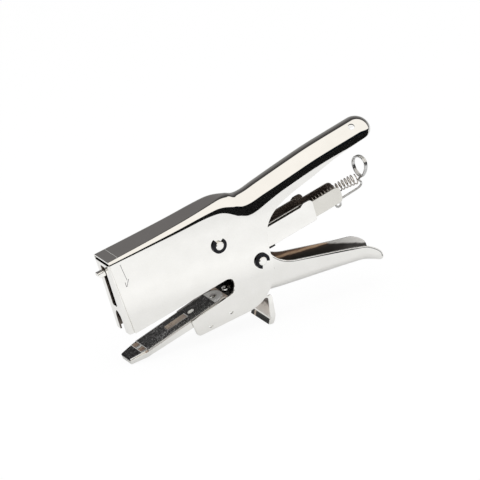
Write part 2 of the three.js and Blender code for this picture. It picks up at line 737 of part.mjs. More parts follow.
function magazineHousing() {
  const ear = 6;
  const wall = new THREE.Shape();
  wall.moveTo(MAGAZINE_NOSE_X, HOUSING_FLOOR);
  wall.lineTo(PIVOT.x - 12, HOUSING_FLOOR);
  wall.quadraticCurveTo(PIVOT.x - 7, HOUSING_FLOOR, PIVOT.x - ear, PIVOT.z);
  wall.absarc(PIVOT.x, PIVOT.z, ear, Math.PI, 2 * Math.PI, false);
  wall.quadraticCurveTo(PIVOT.x + 7, HOUSING_FLOOR, PIVOT.x + 14, HOUSING_FLOOR);
  wall.lineTo(HOUSING_REAR_X - 1.6, HOUSING_FLOOR);
  wall.quadraticCurveTo(HOUSING_REAR_X - 0.8, HOUSING_FLOOR, HOUSING_REAR_X - 0.8, HOUSING_FLOOR + 1.2);
  wall.lineTo(HOUSING_REAR_X, HOUSING_TOP - 1);
  wall.quadraticCurveTo(HOUSING_REAR_X - 0.4, HOUSING_TOP + 1.5, HOUSING_REAR_X - 3, HOUSING_TOP + 1.6);
  wall.lineTo(HOUSING_REAR_X - 6.4, HOUSING_TOP + 1.6);
  wall.lineTo(HOUSING_REAR_X - 9, HOUSING_TOP);
  wall.lineTo(MAGAZINE_NOSE_X + 1.5, HOUSING_TOP);
  wall.closePath();
  const plan = rectangle(MAGAZINE_NOSE_X, HOUSING_REAR_X - 1, -HOUSING_IN - 0.1, HOUSING_IN + 0.1);
  const floor = upright(plan, HOUSING_FLOOR, HOUSING_FLOOR + HOUSING_SHEET);
  return cut(
    union(bothWalls(wall, HOUSING_IN, HOUSING_OUT), floor),
    crossPin(PIVOT, PIN_HOLE, -10, 10),
    ...RAIL_RIVETS_X.map((x) => uprightPin(x, RAIL_RIVET / 2 + 0.04, HOUSING_FLOOR - 1, HOUSING_FLOOR + 2)),
  );
}

const RAIL_RIVETS_X = [30, 128];
const RAIL_RIVET = 3;

function uprightPin(x, radius, z0, z1, segments = 20) {
  const geometry = new THREE.CylinderGeometry(radius, radius, z1 - z0, segments);
  geometry.rotateX(Math.PI / 2);
  geometry.translate(x, 0, (z0 + z1) / 2);
  return solid(geometry);
}

function magazineRail() {
  const front = MAGAZINE_NOSE_X + 1.2;
  const wall = outline([
    [front, RAIL_FLOOR],
    [RAIL_REAR_X - 1, RAIL_FLOOR, 3],
    [RAIL_REAR_X, RAIL_FLOOR + 4, 3],
    [RAIL_REAR_X, RAIL_REAR_TOP, 4],
    [HOUSING_REAR_X - 2, RAIL_REAR_TOP, 3],
    [HOUSING_REAR_X - 7, RAIL_TOP, 3],
    [front + 0.8, RAIL_TOP],
  ]);
  const floor = rectangle(front, RAIL_REAR_X - 1.2, -RAIL_IN - 0.1, RAIL_IN + 0.1);
  return cut(
    union(bothWalls(wall, RAIL_IN, RAIL_OUT), upright(floor, RAIL_FLOOR, RAIL_FLOOR + RAIL_SHEET)),
    ...RAIL_RIVETS_X.map((x) => uprightPin(x, RAIL_RIVET / 2 + 0.04, RAIL_FLOOR - 1, RAIL_FLOOR + 2)),
  );
}

// Flush above, with a flat head under the housing.
function railRivet(x) {
  const head = uprightPin(x, RAIL_RIVET / 2 + 1, HOUSING_FLOOR - 0.6, HOUSING_FLOOR);
  return union(uprightPin(x, RAIL_RIVET / 2, HOUSING_FLOOR - 0.3, RAIL_FLOOR + RAIL_SHEET), head);
}

function follower() {
  const rear = FOLLOWER_X + FOLLOWER_LENGTH;
  const cap = outline([
    [FOLLOWER_X, RAIL_TOP + SEAT_GAP],
    [rear, RAIL_TOP + SEAT_GAP],
    [rear, RAIL_TOP + SEAT_GAP + CAP_SHEET, 0.8],
    [FOLLOWER_X, RAIL_TOP + SEAT_GAP + CAP_SHEET],
  ]);
  const tongue = outline([
    [FOLLOWER_X, RAIL_FLOOR + RAIL_SHEET + SEAT_GAP],
    [rear, RAIL_FLOOR + RAIL_SHEET + SEAT_GAP],
    [rear, RAIL_TOP + SEAT_GAP + 0.2],
    [FOLLOWER_X, RAIL_TOP + SEAT_GAP + 0.2],
  ]);
  const spigot = new THREE.CylinderGeometry(2, 2, 5, 16);
  spigot.rotateZ(Math.PI / 2);
  spigot.translate(rear + 1.5, 0, SPRING_AXIS_Z);
  const tongueHalf = RAIL_IN - SEAT_GAP;
  return union(across(cap, -RAIL_OUT, RAIL_OUT), across(tongue, -tongueHalf, tongueHalf), solid(spigot));
}

class Coil extends THREE.Curve {
  constructor(from, to, turns, radius, place) {
    super();
    Object.assign(this, { from, to, turns, radius, place });
    this.arcLengthDivisions = Math.ceil(turns * 24);
  }
  getPoint(t, target = new THREE.Vector3()) {
    const angle = 2 * Math.PI * this.turns * t;
    const along = this.from + (this.to - this.from) * t;
    return this.place(target, along, this.radius * Math.sin(angle), this.radius * Math.cos(angle));
  }
}

function followerSpring() {
  const from = FOLLOWER_X + FOLLOWER_LENGTH + SPRING_WIRE;
  const turns = Math.round((SPRING_REAR_X - from) / SPRING_PITCH);
  const radius = (SPRING_DIAMETER - SPRING_WIRE) / 2;
  const free = (along) => Math.max(0, along - RAIL_REAR_X) / (SPRING_REAR_X - RAIL_REAR_X);
  const axis = (along) => SPRING_AXIS_Z + SPRING_LIFT * free(along) ** 2;
  const place = (target, along, side, up) => target.set(along, side, axis(along) + up);
  return wire(new Coil(from, SPRING_REAR_X, turns, radius, place), SPRING_WIRE, turns * 8, 4);
}

// A rod under the rail: a catch at its front end, and at its rear a ring that faces back for a fingertip.
function pullHook() {
  const under = RAIL_FLOOR - HOOK_WIRE / 2 - SEAT_GAP;
  const catchX = RAIL_REAR_X - 4.7;
  const rise = SPRING_REAR_X + 2.4;
  const points = [
    [catchX - 1.9, 0, under - 2.6],
    [catchX - 1.4, 0, under - 3.8],
    [catchX, 0, under - 4.3],
    [catchX + 1.3, 0, under - 3.8],
    [catchX + 1.8, 0, under - 2.3],
    [catchX + 2.2, 0, under - 0.8],
    [catchX + 3.2, 0, under],
    [catchX + 6, 0, under],
    [rise - 8, 0, under + 0.2],
    [rise - 2.4, 0, under + 0.5],
    [rise, 0, under + 1.7],
    [rise + 0.2, 0, under + 3.6],
    [rise - 0.6, 0.5, under + 5.2],
  ];
  const centre = new THREE.Vector3(rise + 2.3, 0, RAIL_REAR_TOP + 1.4);
  const sideways = new THREE.Vector3(1.9, -5.55, 0);
  const upwards = new THREE.Vector3(1.7, 0, 6.7);
  const normal = new THREE.Vector3().crossVectors(sideways, upwards).normalize();
  const turns = 11;
  for (let i = 0; i <= turns; i++) {
    const angle = 0.2 + (i / turns) * (2 * Math.PI - 0.3);
    const at = centre.clone();
    at.addScaledVector(sideways, Math.sin(angle));
    at.addScaledVector(upwards, -Math.cos(angle));
    at.addScaledVector(normal, HOOK_WIRE * (0.7 - (1.4 * i) / turns));
    points.push(at.toArray());
  }
  const curve = new THREE.CatmullRomCurve3(
    points.map(([x, y, z]) => new THREE.Vector3(x, y, z)),
    false,
    "centripetal",
  );
  return wire(curve, HOOK_WIRE, 84, 8);
}

// ---------------------------------------------------------------- anvil

function armPlan(margin, to) {
  const half = ARM_HALF - margin;
  return outline([
    [ARM_TIP_X + margin, -ARM_TIP_WIDTH / 2 + margin * 1.2],
    [ARM_KNEE_X, -ARM_KNEE_WIDTH / 2 + margin],
    [LIP_FRONT_X, -half],
    [to, -half],
    [to, half],
    [LIP_FRONT_X, half],
    [ARM_KNEE_X, ARM_KNEE_WIDTH / 2 - margin],
    [ARM_TIP_X + margin, ARM_TIP_WIDTH / 2 - margin * 1.2],
  ]);
}

const armTop = (x) => clinchTop(x) - CLINCH_SHEET - 0.1;
const WINDOW = { from: 23.2, to: 38.3, half: 2.75 };
const OVAL = { x: 42.6, length: 4.5, half: 1.75 };
const CLINCH_RIVET_X = 60;
const ARM_SCREW_X = 70.2;
const TONGUE_X = 57; // where the clinch plate's rear tongue bends down
const TONGUE_END_X = 66;

// The long window is in the clinch plate alone: the arm closes it from below. The oval goes through both.
function plateWindow() {
  return upright(rectangle(WINDOW.from, WINDOW.to, -WINDOW.half, WINDOW.half, 0.8), -30, 5);
}

function armOval() {
  const ovalHalf = OVAL.length / 2;
  return upright(rectangle(OVAL.x - ovalHalf, OVAL.x + ovalHalf, -OVAL.half, OVAL.half, OVAL.half), -30, 5);
}

function anvilArm() {
  const side = (top, bottom, x0, x1) =>
    outline([
      [x0, armTop(x0) + top],
      [x1, armTop(x1) + top],
      [x1, armTop(x1) + bottom],
      [x0, armTop(x0) + bottom],
    ]);
  const skirt = outline([
    [LIP_FRONT_X + 1.6, armTop(LIP_FRONT_X) - ARM_DEPTH + 1],
    [LIP_FRONT_X + 1.6, armTop(LIP_FRONT_X) - ARM_DEPTH],
    [LIP_FRONT_X + 2.6, lipLedge(LIP_FRONT_X + 2.6), 1],
    [ARM_ROOT_X, lipLedge(ARM_ROOT_X)],
    [ARM_ROOT_X, armTop(ARM_ROOT_X) - 2],
  ]);
  const blank = across(
    outline([
      [ARM_TIP_X, armTop(ARM_TIP_X)],
      [ARM_ROOT_X, armTop(ARM_ROOT_X)],
      [ARM_ROOT_X, armTop(ARM_ROOT_X) - ARM_DEPTH],
      [LIP_FRONT_X, armTop(LIP_FRONT_X) - ARM_DEPTH],
      [ARM_TIP_X, armTop(ARM_TIP_X) - ARM_DEPTH_TIP],
    ]),
    -12,
    12,
  );
  const deep = union(blank, across(skirt, -12, 12));
  const outer = deep.intersect(upright(armPlan(0, ARM_ROOT_X), -40, 5));
  const hollow = across(side(-ARM_SHEET, -40, ARM_TIP_X, ARM_ROOT_X + 5), -12, 12).intersect(
    upright(armPlan(ARM_SHEET, ARM_ROOT_X + 5), -60, 5),
  );
  const screwHole = uprightPin(ARM_SCREW_X, 1.6, -30, 5);
  return cut(outer, hollow, armOval(), uprightPin(CLINCH_RIVET_X, 1.6, -30, 5), screwHole);
}

// The arm's skirts inside the lips stop just above the two lances.
function lipLedge(x) {
  return -23.2 + 0.06 * (x - 48.2) + SEAT_GAP;
}

function clinchPlate() {
  const drop = 0.55; // the tongue is thinned by this much towards its end
  const top = (x) => clinchTop(x) - (x > TONGUE_X ? (drop * (x - TONGUE_X)) / (TONGUE_END_X - TONGUE_X) : 0);
  const flat = outline([
    [ARM_TIP_X, clinchTop(ARM_TIP_X)],
    [TONGUE_X, clinchTop(TONGUE_X)],
    [TONGUE_X, clinchTop(TONGUE_X) - CLINCH_SHEET],
    [ARM_TIP_X, clinchTop(ARM_TIP_X) - CLINCH_SHEET],
  ]);
  const tongue = outline([
    [TONGUE_X - 0.1, top(TONGUE_X)],
    [TONGUE_END_X, top(TONGUE_END_X)],
    [TONGUE_END_X, clinchTop(TONGUE_END_X) - CLINCH_SHEET],
    [TONGUE_X - 0.1, clinchTop(TONGUE_X) - CLINCH_SHEET],
  ]);
  const plan = new THREE.Shape();
  const half = ARM_HALF - CLINCH_MARGIN;
  const tipMargin = 0.3;
  const bend = LIP_FRONT_X;
  plan.moveTo(ARM_TIP_X + tipMargin, -ARM_TIP_WIDTH / 2 + tipMargin);
  plan.lineTo(ARM_KNEE_X, -ARM_KNEE_WIDTH / 2 + CLINCH_MARGIN);
  plan.lineTo(bend, -half);
  plan.lineTo(TONGUE_X, -half);
  plan.quadraticCurveTo(TONGUE_END_X, -half, TONGUE_END_X, 0);
  plan.quadraticCurveTo(TONGUE_END_X, half, TONGUE_X, half);
  plan.lineTo(bend, half);
  plan.lineTo(ARM_KNEE_X, ARM_KNEE_WIDTH / 2 - CLINCH_MARGIN);
  plan.lineTo(ARM_TIP_X + tipMargin, ARM_TIP_WIDTH / 2 - tipMargin);
  plan.closePath();
  const plate = union(across(flat, -12, 12), across(tongue, -12, 12)).intersect(upright(plan, -40, 5));
  return cut(plate, plateWindow(), armOval(), ...clinchPockets(), uprightPin(CLINCH_RIVET_X, 1.6, -30, 5));
}

// Two pockets that turn the legs of a staple inwards: each floor rises towards the middle.
function clinchPockets() {
  const centre = ARM_KNEE_X + 0.2;
  const half = 2;
  const surface = clinchTop(centre);
  return [-1, 1].map((side) => {
    const profile = outline([
      [side * 0.9, surface + 0.6],
      [side * 0.9, surface - 0.15],
      [side * 4.2, surface - 0.75],
      [side * 5.9, surface - 0.1],
      [side * 5.9, surface + 0.6],
    ]);
    return lengthways(profile, centre - half, centre + half);
  });
}

// A low round head on a shank.
function dome(x, seat, headRadius, shank, headHeight) {
  const profile = [
    [0, seat - shank],
    [1.5, seat - shank],
    [1.5, seat],
    [headRadius, seat],
    [headRadius * 0.93, seat + headHeight * 0.5],
    [headRadius * 0.6, seat + headHeight * 0.9],
    [0, seat + headHeight],
  ];
  const geometry = new THREE.LatheGeometry(
    profile.map(([radius, y]) => new THREE.Vector2(radius, y)),
    24,
  );
  geometry.rotateX(Math.PI / 2);
  geometry.translate(x, 0, 0);
  return solid(geometry);
}

// ---------------------------------------------------------------- heel foot

// Slope of the table under the standing tool, in the plier's frame.
const stand = Math.atan2(armTop(ARM_TIP_X) - ARM_DEPTH_TIP - HEEL.z, HEEL.x - ARM_TIP_X);

function heelFoot() {
  const half = ARM_HALF;
  const line = [
    [HEEL.x - 10.3, HEEL.z + 17.5],
    [HEEL.x + 4.5, HEEL.z + 17.5],
    [HEEL.x + 6.8, HEEL.z + 16.4],
    [HEEL.x + 7.4, HEEL.z + 14.2],
    [HEEL.x + 5.1, HEEL.z + 4.9],
    [HEEL.x + 3.9, HEEL.z + 2.4],
    [HEEL.x - 0.9, HEEL.z - 1.6],
  ];
  const web = across(ribbon(line, HEEL_SHEET), -HEEL_WIDTH / 2, HEEL_WIDTH / 2);
  const flange = outline([
    [HEEL.x + 7, HEEL.z + 14.9],
    [HEEL.x + 9.9, HEEL.z + 14.6, 1.5],
    [HEEL.x + 8.1, HEEL.z + 4.9, 2],
    [HEEL.x + 4.4, HEEL.z - 0.4, 1.5],
    [HEEL.x + 2.2, HEEL.z + 0.6],
    [HEEL.x + 5.1, HEEL.z + 4.9],
  ]);
  const tab = outline([
    [HEEL.x - 9.3, HEEL.z + 17.2],
    [HEEL.x - 8.8, HEEL.z + 24.9, 1.5],
    [HEEL.x - 0.8, HEEL.z + 24.9, 1.5],
    [HEEL.x + 0.7, HEEL.z + 17.2],
  ]);
  const below = outline([
    [HEEL.x - 40, HEEL.z + 40 * Math.tan(stand)],
    [HEEL.x + 40, HEEL.z - 40 * Math.tan(stand)],
    [HEEL.x + 40, HEEL.z - 60],
    [HEEL.x - 40, HEEL.z - 60],
  ]);
  const flared = new THREE.Shape();
  flared.moveTo(-half, -20);
  flared.lineTo(-half, HEEL.z + 12);
  flared.lineTo(-HEEL_WIDTH / 2, HEEL.z + 3);
  flared.quadraticCurveTo(-HEEL_WIDTH / 2, HEEL.z + 1.4, -HEEL_WIDTH / 2 + 1.6, HEEL.z + 1.2);
  flared.quadraticCurveTo(0, HEEL.z - 1.8, HEEL_WIDTH / 2 - 1.6, HEEL.z + 1.2);
  flared.quadraticCurveTo(HEEL_WIDTH / 2, HEEL.z + 1.4, HEEL_WIDTH / 2, HEEL.z + 3);
  flared.lineTo(half, HEEL.z + 12);
  flared.lineTo(half, -20);
  flared.closePath();
  const plate = web.intersect(lengthways(flared, HEEL.x - 40, HEEL.x + 40, 12));
  const inner = half - HEEL_SHEET;
  const foot = union(plate, bothWalls(flange, inner, half), bothWalls(tab, inner, half));
  return cut(foot, across(below, -12, 12));
}

// ---------------------------------------------------------------- pins, clips and return spring

function headedPin(at) {
  const groove = CLIP_GROOVE / 2;
  const inner = -BODY_HALF - 0.25;
  const outer = inner - CLIP_THICKNESS - 0.2;
  const end = -BODY_HALF - PIN_PROUD;
  return turned(at, [
    [0, end],
    [PIN_RADIUS - 0.5, end],
    [PIN_RADIUS, end + 0.4],
    [PIN_RADIUS, outer],
    [groove, outer],
    [groove, inner],
    [PIN_RADIUS, inner],
    [PIN_RADIUS, BODY_HALF + 0.05],
    [PIN_HEAD / 2, BODY_HALF + 0.05],
    [PIN_HEAD / 2, BODY_HALF + 1.1],
    [PIN_HEAD / 2 - 0.9, BODY_HALF + PIN_PROUD],
    [0, BODY_HALF + PIN_PROUD],
  ]);
}

function clip(at, opening) {
  const gap = THREE.MathUtils.degToRad(42);
  const from = THREE.MathUtils.degToRad(opening) + gap;
  const to = from + 2 * Math.PI - 2 * gap;
  const shape = new THREE.Shape();
  shape.absarc(at.x, at.z, CLIP_DIAMETER / 2, from, to, false);
  shape.absarc(at.x, at.z, CLIP_GROOVE / 2 + 0.15, to, from, true);
  shape.closePath();
  const outer = -BODY_HALF - 0.35 - CLIP_THICKNESS;
  return across(shape, outer, outer + CLIP_THICKNESS, 12);
}

const RETURN_WIRE = 1.3;
const RETURN_RADIUS = 4.4; // of the coil's centre line

class ReturnSpringLine extends THREE.Curve {
  constructor() {
    super();
    this.turns = 4 + 44 / 360;
    this.first = THREE.MathUtils.degToRad(-7);
    this.legs = [24, 34];
    this.width = 8.4;
  }
  coilPoint(turn, target) {
    const angle = this.first + 2 * Math.PI * this.turns * turn;
    return target.set(
      FRONT_PIN.x + RETURN_RADIUS * Math.sin(angle),
      this.width * (turn - 0.5),
      FRONT_PIN.z - RETURN_RADIUS * Math.cos(angle),
    );
  }
  getPoint(t, target = new THREE.Vector3()) {
    const leg = 0.1;
    if (t >= leg && t <= 1 - leg) return this.coilPoint((t - leg) / (1 - 2 * leg), target);
    const end = t < leg ? 0 : 1;
    const angle = this.first + 2 * Math.PI * this.turns * end;
    const away = end ? this.legs[1] * ((t - 1 + leg) / leg) : -this.legs[0] * (1 - t / leg);
    this.coilPoint(end, target);
    return target.set(target.x + away * Math.cos(angle), target.y, target.z + away * Math.sin(angle));
  }
}

function returnSpring() {
  return wire(new ReturnSpringLine(), RETURN_WIRE, 84, 6);
}

// ---------------------------------------------------------------- assembly

const plier = new THREE.Group();
plier.add(
  piece("body_shell", bodyShell(), nickel),
  piece("anvil_arm", anvilArm(), nickel),
  piece("clinch_plate", clinchPlate(), brushedSteel),
  piece("clinch_rivet", dome(CLINCH_RIVET_X, clinchTop(CLINCH_RIVET_X), 2.4, 3.4, 0.8), nickel),
  piece("arm_screw", dome(ARM_SCREW_X, armTop(ARM_SCREW_X) + 0.3, 3, 3.5, 1.6), nickel),
  piece("heel_foot", heelFoot(), nickel),
  piece("front_pin", headedPin(FRONT_PIN), nickel),
  piece("rear_pin", headedPin(PIVOT), nickel),
  piece("front_clip", clip(FRONT_PIN, 69), blackSteel),
  piece("rear_clip", clip(PIVOT, -68), blackSteel),
  piece("return_spring", returnSpring(), springSteel),
);

const squeezed = new THREE.Group();
squeezed.add(
  piece("lower_handle", lowerHandle(), nickel),
  piece("driver_lever", driverLever(), nickel),
  piece("lever_pin", crossPin(LEVER_TIP, LEVER_PIN / 2, -LEVER_OUT, LEVER_OUT, 24), springSteel),
  piece("lever_rivet_upper", crossPin(RIVETS[0], RIVET_RADIUS, -HANDLE_OUT, HANDLE_OUT, 24), nickel),
  piece("lever_rivet_lower", crossPin(RIVETS[1], RIVET_RADIUS, -HANDLE_OUT, HANDLE_OUT, 24), nickel),
);

const driver = new THREE.Group();
driver.add(
  piece("driver_block", driverBlock(), nickel),
  piece("driver_blade", driverBlade(), blackSteel),
  piece("guide_tab", guideTab(), nickel),
);

const nose = new THREE.Group();
nose.position.x = NOSE_FOOT_X;
nose.rotation.y = NOSE_LEAN;
nose.add(piece("front_guide", frontGuide(), nickel), driver);

const magazine = new THREE.Group();
magazine.add(
  piece("magazine_housing", magazineHousing(), nickel),
  piece("magazine_rail", magazineRail(), nickel),
  piece("rail_rivet_front", railRivet(RAIL_RIVETS_X[0]), nickel),
  piece("rail_rivet_rear", railRivet(RAIL_RIVETS_X[1]), nickel),
  piece("follower", follower(), nickel),
  piece("follower_spring", followerSpring(), springSteel),
  piece("pull_hook", pullHook(), nickel),
);
plier.add(squeezed, nose, magazine);

// Stood on the arm's tip and the heel foot.
const standing = new THREE.Group();
plier.rotation.y = -stand;
standing.add(plier);
standing.updateMatrixWorld(true);
const bounds = new THREE.Box3().setFromObject(standing, true);
plier.position.set(-(bounds.min.x + bounds.max.x) / 2, -(bounds.min.y + bounds.max.y) / 2, -bounds.min.z);

export default standing;
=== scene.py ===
import json
import math

import bpy
from mathutils import Matrix, Vector


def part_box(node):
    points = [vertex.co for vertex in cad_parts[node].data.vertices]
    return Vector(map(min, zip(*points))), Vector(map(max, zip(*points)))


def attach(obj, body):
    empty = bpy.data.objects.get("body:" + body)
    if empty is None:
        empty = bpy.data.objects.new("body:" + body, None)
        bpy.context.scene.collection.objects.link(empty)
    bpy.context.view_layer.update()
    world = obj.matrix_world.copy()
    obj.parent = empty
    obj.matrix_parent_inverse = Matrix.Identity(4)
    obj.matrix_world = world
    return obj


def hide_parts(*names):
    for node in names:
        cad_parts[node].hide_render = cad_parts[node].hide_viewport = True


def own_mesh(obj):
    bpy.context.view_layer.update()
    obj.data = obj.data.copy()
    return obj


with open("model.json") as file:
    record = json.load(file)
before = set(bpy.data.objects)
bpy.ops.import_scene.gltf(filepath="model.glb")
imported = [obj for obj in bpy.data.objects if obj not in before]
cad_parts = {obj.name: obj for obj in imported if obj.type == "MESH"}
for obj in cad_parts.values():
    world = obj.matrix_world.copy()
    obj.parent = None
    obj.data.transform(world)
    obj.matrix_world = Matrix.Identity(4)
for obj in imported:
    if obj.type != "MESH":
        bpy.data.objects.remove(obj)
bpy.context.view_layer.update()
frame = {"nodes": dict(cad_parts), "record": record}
nodes = frame["nodes"]

# ---------------------------------------------------------------- the plier's own frame
# Shapes are drawn in millimetres: +X along the magazine, +Z square to it, Y = 0 between the cheeks.
MM = 0.001
FRONT_PIN = (71.9, 23.5)
REAR_PIN = (95.2, -1.8)


def node_centre(name):
    low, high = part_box(name)
    return (low + high) / 2


pin_front = node_centre("front_pin")
pin_rear = node_centre("rear_pin")
tilt = math.atan2(pin_rear.z - pin_front.z, pin_rear.x - pin_front.x) - math.atan2(
    REAR_PIN[1] - FRONT_PIN[1], REAR_PIN[0] - FRONT_PIN[0]
)
TURN = Matrix.Rotation(-tilt, 4, "Y")
TO_ROW = (
    Matrix.Translation(Vector((pin_rear.x, 0, pin_rear.z)))
    @ TURN
    @ Matrix.Scale(MM, 4)
    @ Matrix.Translation(Vector((-REAR_PIN[0], 0, -REAR_PIN[1])))
)
FROM_ROW = TO_ROW.inverted()

# ---------------------------------------------------------------- camera
# Where it looks and which way its picture lies are given in the plier's frame, its view's width in metres.
VIEW_WIDTH = 0.300
LENS = 400
SENSOR = 36
LOOK_AT = (86.3, -10.6, 19.1)
VIEW_RIGHT = (0.8213, -0.48, -0.309)
VIEW_UP = (0.4844, 0.30, 0.822)


def make_camera():
    """A long lens far away, so that lines which run side by side stay so in the picture."""
    right = TURN @ Vector(VIEW_RIGHT)
    up = TURN @ Vector(VIEW_UP)
    back = right.cross(up).normalized()
    up = back.cross(right).normalized()
    right = up.cross(back)
    data = bpy.data.cameras.new("camera")
    data.sensor_width = SENSOR
    data.lens = LENS
    data.clip_end = 30
    camera = bpy.data.objects.new("camera", data)
    place = TO_ROW @ Vector(LOOK_AT) + back * (VIEW_WIDTH * LENS / SENSOR)
    camera.matrix_world = Matrix.Translation(place) @ Matrix((right, up, back)).transposed().to_4x4()
    bpy.context.scene.collection.objects.link(camera)
    bpy.context.scene.camera = camera


make_camera()

# ---------------------------------------------------------------- node helpers
MIX_INPUTS = (6, 7)
MIX_OUTPUT = 2


class Tree:
    """Short calls for building a shader."""

    def __init__(self, tree):
        self.tree = tree
        tree.nodes.clear()

    def put(self, socket, value):
        """Links another node's output to a socket, or writes a plain value into it."""
        if isinstance(value, bpy.types.NodeSocket):
            self.tree.links.new(value, socket)
        else:
            socket.default_value = value

    def add(self, kind, inputs=None, **settings):
        made = self.tree.nodes.new(kind)
        for key, value in settings.items():
            setattr(made, key, value)
        for key, value in (inputs or {}).items():
            self.put(made.inputs[key], value)
        return made

    def math(self, operation, a, b=0.0):
        made = self.add("ShaderNodeMath", operation=operation)
        self.put(made.inputs[0], a)
        self.put(made.inputs[1], b)
        return made.outputs[0]

    def share(self, value, start, span):
        """How far a value has come from its start, in spans."""
        return self.math("DIVIDE", self.math("SUBTRACT", value, start), span)

    def ramp(self, factor, stops):
        """A colour or a grey level by place: stops are (place, level)."""
        made = self.add("ShaderNodeValToRGB", {"Fac": factor})
        elements = made.color_ramp.elements
        while len(elements) < len(stops):
            elements.new(0.5)
        for element, (place, colour) in zip(elements, stops):
            element.position = place
            if isinstance(colour, (int, float)):
                colour = (colour, colour, colour)
            element.color = (*colour, 1)
        return made.outputs["Color"]

    def mix(self, factor, *colours):
        made = self.add("ShaderNodeMix", {0: factor}, data_type="RGBA")
        for index, colour in zip(MIX_INPUTS, colours):
            self.put(made.inputs[index], (*colour, 1) if isinstance(colour, tuple) else colour)
        return made.outputs[MIX_OUTPUT]

    def bump(self, height, strength, **inputs):
        settings = {"Height": height, "Distance": MM, "Strength": strength, **inputs}
        return self.add("ShaderNodeBump", settings).outputs[0]

    def metal(self, tint, rough, metallic, **inputs):
        """Ends the tree in a principled shader."""
        settings = {"Base Color": tint, "Roughness": rough, "Metallic": metallic, **inputs}
        self.finish(self.add("ShaderNodeBsdfPrincipled", settings))

    def finish(self, shader, kind="ShaderNodeOutputMaterial"):
        self.add(kind, {"Surface": shader.outputs[0]})


def new_material(name):
    material = bpy.data.materials.new(name)
    material.use_nodes = True
    return material, Tree(material.node_tree)


def mapped(t, scale=(1, 1, 1)):
    """Row-frame position turned into the plier's frame, so that stretched noise runs along the magazine."""
    position = t.add("ShaderNodeTexCoord").outputs["Object"]
    turned = t.add("ShaderNodeMapping", {"Vector": position, "Rotation": (0, tilt, 0)}).outputs[0]
    return t.add("ShaderNodeMapping", {"Vector": turned, "Scale": scale}).outputs[0]


def plier_place(t):
    """Position in plier millimetres, split into X, Y and Z sockets."""
    per_metre = 1 / MM
    position = t.add("ShaderNodeTexCoord").outputs["Object"]
    pin = Matrix.Rotation(tilt, 3, "Y") @ Vector(pin_rear) * per_metre
    origin = Vector((REAR_PIN[0], 0, REAR_PIN[1])) - pin
    settings = {"Vector": position, "Location": origin, "Rotation": (0, tilt, 0), "Scale": (per_metre,) * 3}
    return t.add("ShaderNodeSeparateXYZ", {"Vector": t.add("ShaderNodeMapping", settings).outputs[0]}).outputs


def noise(t, vector, scale, detail, roughness=0.5):
    """Noise from 0 to 1; the scale is per metre."""
    settings = {"Vector": vector, "Scale": scale, "Detail": detail, "Roughness": roughness}
    return t.add("ShaderNodeTexNoise", settings).outputs["Fac"]


def wander(t, scale, detail, reach, stretch=(1, 1, 1)):
    """Noise about zero in millimetres, which keeps the edge between two tones from running straight."""
    return t.math("MULTIPLY", t.math("SUBTRACT", noise(t, mapped(t, stretch), scale, detail), 0.5), reach)


# ---------------------------------------------------------------- materials
RIPPLE = 0.03


def finish_metal(name, colour, dark, rough, edge=0.00018, metallic=1.0):
    """Plated or bare metal: a slightly uneven tone, smudges in the gloss, faint ripple and rounded edges."""
    material, t = new_material(name)
    here = mapped(t)
    cloud = noise(t, here, 90, 4)
    speck = noise(t, here, 900, 2)
    hair = noise(t, here, 1200, 3, 0.6)
    tone = t.math("ADD", t.math("MULTIPLY", cloud, 0.6), t.math("MULTIPLY", hair, 0.4))
    tint = t.mix(t.ramp(tone, [(0.35, 0.0), (0.65, 1.0)]), dark, colour)
    smudge = t.ramp(cloud, [(0.4, rough * 0.8), (0.62, rough * 1.35)])
    gloss = t.math("ADD", smudge, t.math("MULTIPLY", t.math("SUBTRACT", hair, 0.5), rough * 0.6))
    height = t.math("ADD", t.math("MULTIPLY", cloud, RIPPLE), t.math("MULTIPLY", speck, RIPPLE * 0.006))
    rounded = t.add("ShaderNodeBevel", {"Radius": edge}, samples=4).outputs[0]
    t.metal(tint, gloss, metallic, Normal=t.bump(height, 0.5, Normal=rounded))
    return material


def finish_inside_shade():
    """Plate inside the squeezed handle in painted shade and light: umber shade, a lighter streak of painted
    reflection, near black shade, and clear where light reaches the rear end.
    """
    lip_height, lip_fall = 27.06, 0.357
    streak_start, streak_span, streak_lean = 10.1, 8, 10.5
    clear_from, clear_span, clear_lean = 143, 5, 4
    # Painted shade with one streak of painted reflection, leaning across the channel.
    painted_streak = [
        (0.0, (0.2, 0.13, 0.1)),
        (0.3, (0.26, 0.17, 0.125)),
        (0.38, (0.62, 0.38, 0.25)),
        (0.48, (1.0, 0.7, 0.47)),
        (0.58, (0.75, 0.5, 0.33)),
        (0.66, (0.1, 0.075, 0.06)),
        (1.0, (0.05, 0.045, 0.04)),
    ]
    material, t = new_material("nickel_in_shade")
    x, _, z = plier_place(t)
    wave = wander(t, 300, 3, 3, (0.25, 1, 1))
    lip = t.math("SUBTRACT", lip_height, t.math("MULTIPLY", x, lip_fall))
    depth = t.math("SUBTRACT", lip, z)
    slant = t.math("ADD", t.math("ADD", t.math("DIVIDE", x, streak_lean), depth), wave)
    tint = t.ramp(t.share(slant, streak_start, streak_span), painted_streak)
    # Painted light: the plate turns clear towards the rear end, where light reaches in.
    rear = t.math("ADD", x, t.math("MULTIPLY", wave, 3))
    rear = t.math("SUBTRACT", rear, t.math("MULTIPLY", depth, clear_lean))
    clear = t.ramp(t.share(rear, clear_from, clear_span), [(0.0, 0.0), (1.0, 1.0)])
    tint = t.mix(clear, tint, (0.95, 0.93, 0.89))
    cloud = noise(t, mapped(t), 130, 4)
    t.metal(tint, t.ramp(cloud, [(0.4, 0.3), (0.6, 0.4)]), 0.1, Normal=t.bump(cloud, 0.12))
    return material


